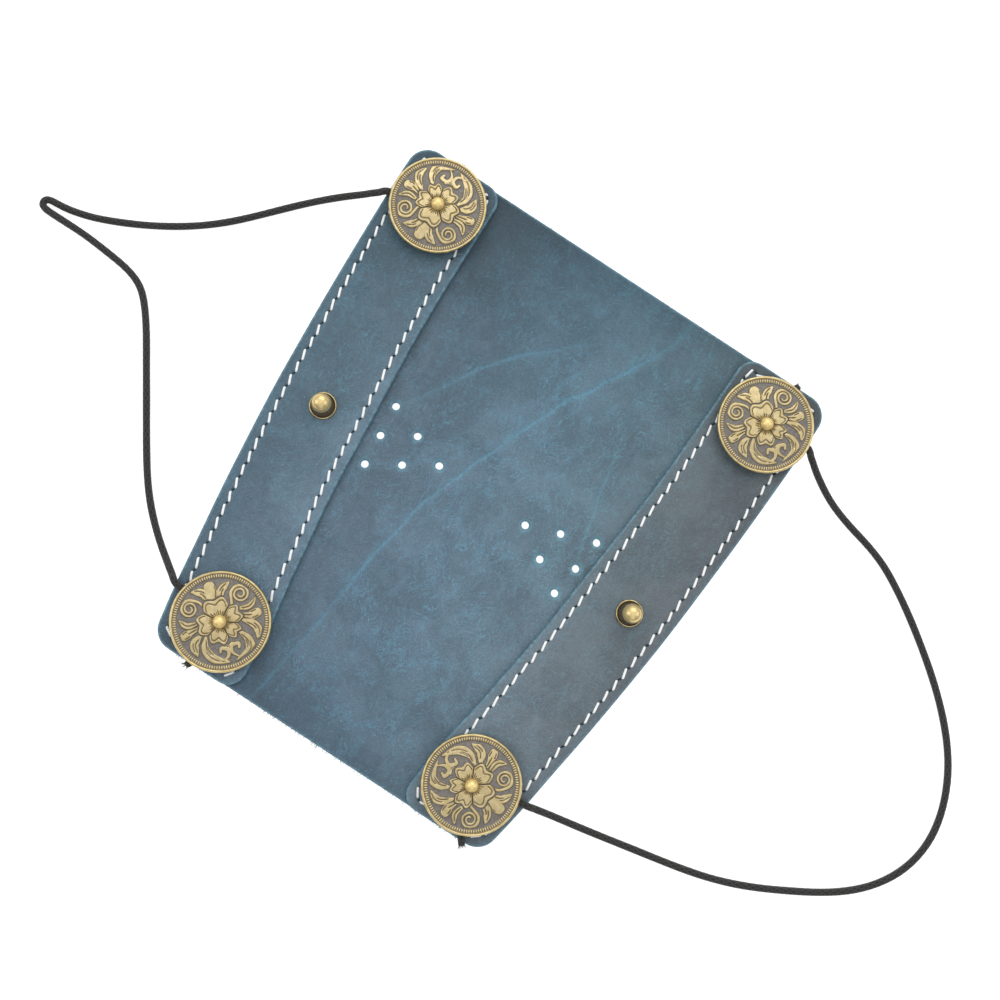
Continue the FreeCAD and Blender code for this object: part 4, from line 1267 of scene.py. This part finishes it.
def leather(name, dark, base, light, raw, seed, veins, falloff, grain=1.0):
    """Waxed pull-up leather. falloff gives, for red, green and blue, how the tone changes over the piece: the logarithm
    of a factor, with terms for 1, x, x squared, y and y squared in units of 100 mm."""
    m = Mat(name, "2D")
    p = m.vec("ADD", m.place(), (seed * 37.0, seed * 11.0, 0.0))
    warp = m.vec("ADD", p, m.vec("SCALE", m.vec("SUBTRACT", m.noise(p, 0.05, 3, color=True), (0.5, 0.5, 0.5)), scale=22.0))
    warp2 = m.vec("ADD", p, m.vec("SCALE", m.vec("SUBTRACT", m.noise(p, 0.32, 3, color=True), (0.5, 0.5, 0.5)), scale=5.0))
    mid = m.span(m.noise(warp, 0.045, 6, 0.66), 0.30, 0.70)
    small = m.noise(warp2, 0.42, 5, 0.7)
    speck = m.noise(p, 1.9, 4, 0.75)
    tone = m.math("ADD", 0.22, m.math("MULTIPLY", mid, 0.5))
    tone = m.math("ADD", tone, m.math("MULTIPLY", m.math("SUBTRACT", small, 0.5), 0.7))
    tone = m.math("ADD", tone, m.math("MULTIPLY", m.math("SUBTRACT", speck, 0.5), 1.0), clamp=True)
    col = m.mix(m.span(tone, 0.0, 0.55, smooth=False), dark, base)
    col = m.mix(m.span(tone, 0.5, 1.05, smooth=False), col, light)

    def turned(deg, long, across):
        """The place turned by an angle and stretched, so that noise over it runs in streaks."""
        n = m.node("ShaderNodeVectorRotate", rotation_type="Z_AXIS")
        m.feed(n.inputs["Vector"], m.vec("ADD", p, m.vec("SCALE", m.noise(p, 0.11, 2, color=True), scale=7.0)))
        n.inputs["Angle"].default_value = math.radians(deg)
        return m.vec("MULTIPLY", n.outputs[0], (across, long, 1.0))

    # short scratches in the nap of the grain, then long hair-fine lines where the teal shows through
    nap1, nap2 = m.noise(turned(28, 0.34, 1.0), 2.3, 3, 0.6), m.noise(turned(-38, 0.34, 1.0), 2.1, 3, 0.6)
    streak = m.math("ADD", m.span(nap1, 0.56, 0.74), m.span(nap2, 0.56, 0.74), clamp=True)
    streak = m.math("MULTIPLY", streak, m.span(m.noise(warp, 0.07, 4, 0.6), 0.36, 0.66, 0.25, 1.0))
    col = m.mix(m.math("MULTIPLY", streak, 0.42 * veins + 0.10), col, raw)
    hair = None
    for deg, mask, seed2 in ((14, 0.055, 3.0), (-24, 0.07, 7.0), (62, 0.06, 11.0)):
        line = m.math("ABSOLUTE", m.math("SUBTRACT", m.noise(m.vec("ADD", turned(deg, 0.16, 1.0), (seed2, 0.0, 0.0)), 0.42, 3, 0.55), 0.5))
        line = m.math("MULTIPLY", m.span(line, 0.0, 0.035, 1.0, 0.0), m.span(m.noise(m.vec("ADD", p, (0.0, seed2 * 9.0, 0.0)), mask, 3, 0.6), 0.46, 0.64))
        hair = line if hair is None else m.math("MAXIMUM", hair, line)
    hair = m.math("MULTIPLY", hair, m.span(m.noise(p, 0.9, 3, 0.6), 0.38, 0.6, 0.15, 1.0))
    col = m.mix(m.math("MULTIPLY", hair, veins), col, raw)
    # broad faint clouds of the same teal
    wisp = m.math("MULTIPLY", m.span(m.noise(m.vec("MULTIPLY", warp2, (1.0, 0.45, 1.0)), 0.22, 6, 0.75), 0.50, 0.72), 0.42 * veins)
    col = m.mix(wisp, col, raw)
    # creases: a thin crushed line with a soft pale border
    fray = m.span(m.noise(p, 0.95, 5, 0.7), 0.34, 0.62)
    crease = m.fac("crease")
    for k in ("1", "2"):
        d = m.math("ADD", m.fac("fold" + k), m.math("MULTIPLY", m.math("SUBTRACT", m.noise(p, 0.8, 4, 0.7), 0.5), 1.5))
        d2 = m.math("MULTIPLY", d, d)
        core = m.math("EXPONENT", m.math("MULTIPLY", d2, -1.0 / 0.52 ** 2))
        halo = m.math("EXPONENT", m.math("MULTIPLY", d2, -1.0 / 1.7 ** 2))
        both = m.math("ADD", m.math("MULTIPLY", core, 0.95), m.math("MULTIPLY", halo, 0.26), clamp=True)
        crease = m.math("MAXIMUM", crease, m.math("MULTIPLY", both, m.fac("power" + k)))
    worn = m.math("MULTIPLY", crease, m.math("ADD", 0.42, m.math("MULTIPLY", fray, 0.58)))
    worn = m.math("MAXIMUM", worn, m.math("MULTIPLY", m.fac("crease"), 0.9))
    col = m.mix(m.math("MULTIPLY", worn, 0.85), col, raw)
    # the tone deepens towards the edges of the piece
    xyz = m.node("ShaderNodeSeparateXYZ")
    m.feed(xyz.inputs[0], m.vec("SCALE", m.place(), scale=0.01))
    x, y = xyz.outputs[0], xyz.outputs[1]
    if name == "leather_panel":
        x = m.math("MAXIMUM", m.math("MINIMUM", x, 0.56), -0.56)
    x2, y2 = m.math("MULTIPLY", x, x), m.math("MULTIPLY", y, y)
    # darker still along the two ends, and round the left elbow corner
    ends = m.math("MULTIPLY", m.math("POWER", y2, 4.0), -0.33)
    cx, cy = m.math("ADD", xyz.outputs[0], 0.62), m.math("SUBTRACT", y, 0.86)
    off = m.math("ADD", m.math("MULTIPLY", cx, cx), m.math("MULTIPLY", cy, cy))
    ends = m.math("ADD", ends, m.math("MULTIPLY", m.math("EXPONENT", m.math("MULTIPLY", off, -7.5)), -0.40))
    rgb = m.node("ShaderNodeCombineXYZ")
    for i, (c0, cx, cxx, cy, cyy) in enumerate(falloff):
        e = m.math("ADD", c0, m.math("MULTIPLY", x, cx))
        e = m.math("ADD", e, m.math("MULTIPLY", x2, cxx))
        e = m.math("ADD", e, m.math("ADD", m.math("MULTIPLY", y, cy), m.math("MULTIPLY", y2, cyy)))
        e = m.math("ADD", e, ends)
        m.feed(rgb.inputs[i], m.math("EXPONENT", e))
    col = m.mix(1.0, col, rgb.outputs[0], "MULTIPLY")
    # fine grit in the wax
    grit = m.math("ADD", m.noise(p, 3.4, 3, 0.7), m.math("MULTIPLY", nap1, 0.6))
    col = m.mix(1.0, col, m.mix(m.span(grit, 0.55, 1.05, smooth=False), (0.84, 0.84, 0.845), (1.17, 1.17, 1.165)), "MULTIPLY")
    # cut edges: raw and paler
    edge = m.fac("edge")
    rim = m.math("MULTIPLY", m.span(edge, 0.05, 0.8), m.math("ADD", 0.36, m.math("MULTIPLY", m.noise(p, 1.2, 4), 0.75)), clamp=True)
    col = m.mix(rim, col, m.mix(m.span(m.noise(p, 0.6, 4), 0.4, 0.65), (0.105, 0.205, 0.265), (0.165, 0.315, 0.395)))
    # the awl slits: near-black painted shade down in the cuts
    slit = m.fac("slit")
    col = m.mix(m.span(slit, 0.25, 0.75), col, (0.012, 0.033, 0.046))
    # flesh side: paler nap
    flesh = m.fac("flesh")
    nap = m.noise(p, 1.6, 6, 0.75)
    suede = m.mix(m.span(nap, 0.3, 0.7), (0.20, 0.245, 0.255), (0.36, 0.41, 0.42))
    suede = m.mix(m.span(m.noise(p, 0.03, 4), 0.35, 0.65), suede, (0.27, 0.30, 0.30))
    col = m.mix(flesh, col, suede)
    # grain: pebbles with pores between, folded finer by the creases
    g1 = m.cells(m.vec("ADD", p, m.vec("SCALE", m.noise(p, 0.9, 1, color=True), scale=0.55)), 1.25, "F1")
    g2 = m.cells(p, 2.9, "F1")
    h = m.math("ADD", m.math("MULTIPLY", g1, -0.5), m.math("MULTIPLY", g2, -0.3))
    h = m.math("ADD", h, m.math("MULTIPLY", m.noise(p, 0.35, 6, 0.75), 1.1))
    h = m.math("ADD", h, m.math("MULTIPLY", worn, -0.9))
    h = m.math("ADD", h, m.math("MULTIPLY", flesh, m.math("MULTIPLY", nap, 1.5)))
    rough = m.math("ADD", m.span(small, 0.3, 0.7, 0.52, 0.68), m.math("MULTIPLY", flesh, 0.3), clamp=True)
    rough = m.math("ADD", rough, m.math("MULTIPLY", rim, 0.12), clamp=True)
    return m.set(color=col, rough=rough, spec=m.math("SUBTRACT", 0.34, m.math("MULTIPLY", flesh, 0.28)), normal=m.bump(h, 0.00018 * grain, 0.85),
                 sheen=m.math("MULTIPLY", flesh, 0.35), sheen_rough=0.5)


# colours from dark, through the usual one, to pale, then the raw colour of creases and edges
SHEET = leather("leather_panel", (0.078, 0.118, 0.150), (0.112, 0.170, 0.218), (0.150, 0.218, 0.272), (0.140, 0.320, 0.420), 1.0, 0.62,
                ((-0.03, 0.24, -0.42, -0.10, -0.24), (0.01, 0.22, -0.75, -0.04, -0.16), (0.05, 0.15, -0.98, -0.05, -0.14)))
STRAP_L = leather("leather_band_left", (0.080, 0.118, 0.148), (0.114, 0.166, 0.208), (0.152, 0.214, 0.262), (0.145, 0.315, 0.405), 2.0, 0.52,
                  ((0.77, 1.46, 0.0, 0.04, 0.0), (0.71, 1.24, 0.0, 0.08, 0.0), (0.73, 1.20, 0.0, 0.06, 0.0)))
STRAP_R = leather("leather_band_right", (0.096, 0.118, 0.136), (0.135, 0.163, 0.186), (0.175, 0.206, 0.230), (0.165, 0.300, 0.370), 3.0, 0.42,
                  ((0.14, -0.43, 0.0, -0.20, 0.0), (0.36, -0.72, 0.0, -0.20, 0.0), (0.43, -0.82, 0.0, -0.23, 0.0)))
for o in PANEL.values():
    o.data.materials.append(SHEET)
BAND["left"].data.materials.append(STRAP_L)
BAND["right"].data.materials.append(STRAP_R)

m = Mat("waxed_thread")
p = m.place()
ply = m.noise(m.vec("MULTIPLY", p, (1.0, 1.0, 1.0)), 3.4, 4, 0.6)
WAXED = m.set(color=m.mix(m.span(ply, 0.3, 0.7), (0.84, 0.85, 0.84), (0.985, 0.985, 0.98)), rough=m.span(ply, 0.3, 0.7, 0.48, 0.62, False), spec=0.5,
              normal=m.bump(m.math("ADD", m.noise(p, 7.0, 3), ply), 0.00006, 0.7), sss=0.0)
for o in THREAD.values():
    o.data.materials.append(WAXED)


def brass(name, gold, bright, patina, dull, rough_hi, rough_lo, polish=(0.86, 0.68, 0.33), fleck=0.5):
    m = Mat(name)
    p = m.place()
    w = m.fac("relief")
    grime = m.span(m.noise(p, 1.1, 6, 0.7), 0.35, 0.7)
    fine = m.noise(p, 6.5, 4, 0.6)
    w = m.math("ADD", w, m.math("MULTIPLY", m.math("SUBTRACT", grime, 0.5), -0.24 * fleck * 2))
    w = m.span(w, 0.22, 0.86)
    metal_col = m.mix(m.span(m.noise(p, 0.55, 4, 0.6), 0.32, 0.7), gold, bright)
    low = m.mix(grime, patina, dull)
    col = m.mix(w, low, metal_col)
    ball = m.fac("ball")
    col = m.mix(ball, col, m.mix(m.span(fine, 0.3, 0.7), tuple(c * 0.88 for c in polish), polish))
    rough = m.span(w, 0.0, 1.0, rough_lo, rough_hi, False)
    rough = m.math("ADD", rough, m.math("MULTIPLY", m.math("SUBTRACT", fine, 0.5), 0.16))
    scratch = m.noise(m.vec("MULTIPLY", p, (9.0, 0.9, 1.0)), 1.6, 3, 0.6)
    h = m.math("ADD", m.math("MULTIPLY", fine, 0.5), m.math("MULTIPLY", scratch, 0.3))
    return m.set(color=col, rough=rough, metal=m.math("SUBTRACT", m.span(w, 0.0, 1.0, 0.62, 1.0, False), m.math("MULTIPLY", ball, 0.42)), normal=m.bump(h, 0.00004, 0.55))


GILT = brass("concho_gilt", (0.57, 0.45, 0.215), (0.74, 0.61, 0.33), (0.175, 0.160, 0.146), (0.255, 0.238, 0.220), 0.33, 0.6, polish=(0.92, 0.70, 0.30))
ANTIQUE = brass("stud_antique", (0.46, 0.36, 0.17), (0.68, 0.56, 0.31), (0.060, 0.050, 0.038), (0.11, 0.09, 0.062), 0.24, 0.5, polish=(0.82, 0.63, 0.29), fleck=0.35)
for o in CONCHOS.values():
    o.data.materials.append(GILT)
for o in STUDS.values():
    o.data.materials.append(ANTIQUE)

# screws keep their CAD shape; turned brass with a worn slot
m = Mat("screw_turned_brass")
tc = m.node("ShaderNodeTexCoord").outputs["Object"]
p = m.vec("SCALE", tc, scale=1000.0)
wear = m.noise(p, 0.9, 6, 0.7)
fine = m.noise(p, 8.0, 3)
SCREW = m.set(color=m.mix(m.span(wear, 0.35, 0.68), (0.33, 0.225, 0.095), (0.66, 0.49, 0.22)), metal=1.0,
              rough=m.math("ADD", m.span(wear, 0.3, 0.7, 0.42, 0.26, False), m.math("MULTIPLY", fine, 0.08)),
              normal=m.bump(m.math("ADD", fine, m.math("MULTIPLY", wear, 0.6)), 0.00005, 0.6))
for name, o in frame["nodes"].items():
    if name.endswith("_screw"):
        o.data.materials.clear()
        o.data.materials.append(SCREW)

m = Mat("elastic_cover")
p = m.place()
yarn = m.noise(p, 3.2, 5, 0.7)
fuzz = m.noise(p, 9.0, 3, 0.6)
plait = m.fac("plait")
# the grooves between the yarns are painted darker than the crests: painted shade
col = m.mix(m.span(plait, 0.25, 0.95), (0.009, 0.009, 0.009), (0.040, 0.040, 0.039))
col = m.mix(m.span(yarn, 0.45, 0.75), col, (0.066, 0.066, 0.064))
col = m.mix(m.fac("core"), col, m.mix(m.span(yarn, 0.3, 0.7), (0.30, 0.29, 0.27), (0.52, 0.50, 0.47)))
COVER = m.set(color=col, rough=0.82, spec=0.22, sheen=0.25, sheen_rough=0.45, normal=m.bump(m.math("ADD", yarn, m.math("MULTIPLY", fuzz, 0.6)), 0.00012, 0.9))
for o in CORD.values():
    o.data.materials.append(COVER)

# ---------------------------------------------------------------- floor, light and camera
lo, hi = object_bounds()
me = bpy.data.meshes.new("floor")
s = 6.0
me.from_pydata([(-s, -s, 0), (s, -s, 0), (s, s, 0), (-s, s, 0)], [], [(0, 1, 2, 3)])
floor = bpy.data.objects.new("floor", me)
floor.location = (0, 0, float(min(lo[2], CAD_BOX[0][2])) - 0.0003)
bpy.context.scene.collection.objects.link(floor)
m = Mat("floor_white")
tc = m.node("ShaderNodeTexCoord").outputs["Object"]
white = m.mix(m.noise(tc, 3.0, 3), (0.40, 0.40, 0.40), (0.43, 0.43, 0.43))
FLOOR = m.set(color=white, rough=0.9, spec=0.0)
m.feed(m.bsdf.inputs["Emission Color"], (1.0, 1.0, 1.0))
m.bsdf.inputs["Emission Strength"].default_value = 0.86
# one-sided: looked at from below, the floor lets the flesh side be seen
clear, pick, facing = m.node("ShaderNodeBsdfTransparent"), m.node("ShaderNodeMixShader"), m.node("ShaderNodeNewGeometry")
m.t.links.new(facing.outputs["Backfacing"], pick.inputs[0])
m.t.links.new(m.bsdf.outputs[0], pick.inputs[1])
m.t.links.new(clear.outputs[0], pick.inputs[2])
m.t.links.new(pick.outputs[0], next(n for n in m.t.nodes if n.type == "OUTPUT_MATERIAL").inputs[0])
me.materials.append(FLOOR)

# the floor stays under the object: when the flanks wrap down or a loop hangs, it sinks with the lowest of these points
rest_z = floor.location[2]
driver = floor.driver_add("location", 2).driver
driver.type = "SCRIPTED"
points = [(BAND["left"].parent, (-88.5, 100, 0)), (BAND["left"].parent, (-68, -100, 0)), (BAND["right"].parent, (88.5, 100, 0)), (BAND["right"].parent, (68, -100, 0)),
          (frame["nodes"]["left_cord_loop"].parent, (-190, 7, 0)), (frame["nodes"]["left_cord_loop"].parent, (-190, 7, 3)),
          (frame["nodes"]["right_cord_loop"].parent, (203, -10, 0)), (frame["nodes"]["right_cord_loop"].parent, (203, -10, 3))]
terms = "%.6f" % rest_z
for i, (body, place) in enumerate(points):
    e = bpy.data.objects.new("low_point_%d" % i, None)
    e.empty_display_size = 0.002
    bpy.context.scene.collection.objects.link(e)
    e.parent = body
    e.location = tuple(c * MM for c in place)
    var = driver.variables.new()
    var.name = "p%d" % i
    var.type = "TRANSFORMS"
    var.targets[0].id = e
    var.targets[0].transform_type = "LOC_Z"
    var.targets[0].transform_space = "WORLD_SPACE"
    terms = "min(%s, p%d - 0.0008)" % (terms, i)
driver.expression = terms

world = bpy.data.worlds.new("studio")
world.use_nodes = True
nt = world.node_tree
nt.nodes.clear()
bg = nt.nodes.new("ShaderNodeBackground")
wo = nt.nodes.new("ShaderNodeOutputWorld")
geo = nt.nodes.new("ShaderNodeTexCoord")
grad = nt.nodes.new("ShaderNodeVectorMath")
grad.operation = "DOT_PRODUCT"
grad.inputs[1].default_value = (-0.20, 0.30, 0.93)
nt.links.new(geo.outputs["Generated"], grad.inputs[0])
rmp = nt.nodes.new("ShaderNodeMapRange")
nt.links.new(grad.outputs["Value"], rmp.inputs[0])
for i, v in zip((1, 2, 3, 4), (0.1, 1.0, 0.22, 1.18)):
    rmp.inputs[i].default_value = v
# seen directly, the surroundings are as white as the floor
path = nt.nodes.new("ShaderNodeLightPath")
seen = nt.nodes.new("ShaderNodeMix")
seen.data_type = "FLOAT"
nt.links.new(path.outputs["Is Camera Ray"], seen.inputs[0])
nt.links.new(rmp.outputs[0], seen.inputs[2])
seen.inputs[3].default_value = 1.02
nt.links.new(seen.outputs[0], bg.inputs["Strength"])
bg.inputs["Color"].default_value = (1.0, 1.0, 1.0, 1)
nt.links.new(bg.outputs[0], wo.inputs[0])
bpy.context.scene.world = world

IMG_UP = Vector((-0.5483, 0.8363, 0.0)).normalized()
IMG_RIGHT = Vector((0.8363, 0.5483, 0.0)).normalized()
MID = Vector((0.0065, 0.0067, 0.0))


def lamp(name, where, size, power, aim=MID, color=(1, 1, 1), size_y=None):
    d = bpy.data.lights.new(name, "AREA")
    d.energy, d.size, d.color = power, size, color
    if size_y:
        d.shape, d.size_y = "RECTANGLE", size_y
    o = bpy.data.objects.new(name, d)
    o.location = where
    o.rotation_euler = (aim - Vector(where)).to_track_quat("-Z", "Y").to_euler()
    bpy.context.scene.collection.objects.link(o)
    return o


lamp("key_top", MID + IMG_UP * 0.95 + IMG_RIGHT * 0.18 + Vector((0, 0, 0.95)), 1.2, 4.7)
lamp("fill_left", MID - IMG_RIGHT * 1.15 + IMG_UP * 0.1 + Vector((0, 0, 0.8)), 0.9, 2.6)
lamp("fill_right", MID + IMG_RIGHT * 1.15 - IMG_UP * 0.15 + Vector((0, 0, 0.75)), 0.9, 2.2)
lamp("fill_low", MID - IMG_UP * 1.05 + Vector((0, 0, 0.7)), 0.9, 1.3)

cam_data = bpy.data.cameras.new("camera")
cam_data.sensor_width, cam_data.lens = 36.0, 45.0
cam_data.clip_start, cam_data.clip_end = 0.01, 20.0
cam = bpy.data.objects.new("camera", cam_data)
bpy.context.scene.collection.objects.link(cam)
eye, aim = Vector((6.461, -37.417, 445.056)) * MM, Vector((6.461, 6.656, 3.5)) * MM
fwd = (aim - eye).normalized()
vv = Vector((0, math.cos(math.radians(5.7)), math.sin(math.radians(5.7))))
right = (Vector((1, 0, 0)) * 0.8363 + vv * 0.5483).normalized()
upv = (Vector((1, 0, 0)) * -0.5483 + vv * 0.8363).normalized()
back = -fwd
cam.matrix_world = Matrix(((right.x, upv.x, back.x, eye.x), (right.y, upv.y, back.y, eye.y), (right.z, upv.z, back.z, eye.z), (0, 0, 0, 1)))
bpy.context.scene.camera = cam
bpy.context.scene.view_settings.view_transform = "Standard"
bpy.context.scene.view_settings.look = "None"
bpy.context.scene.view_settings.exposure = 0.0

bpy.context.view_layer.update()
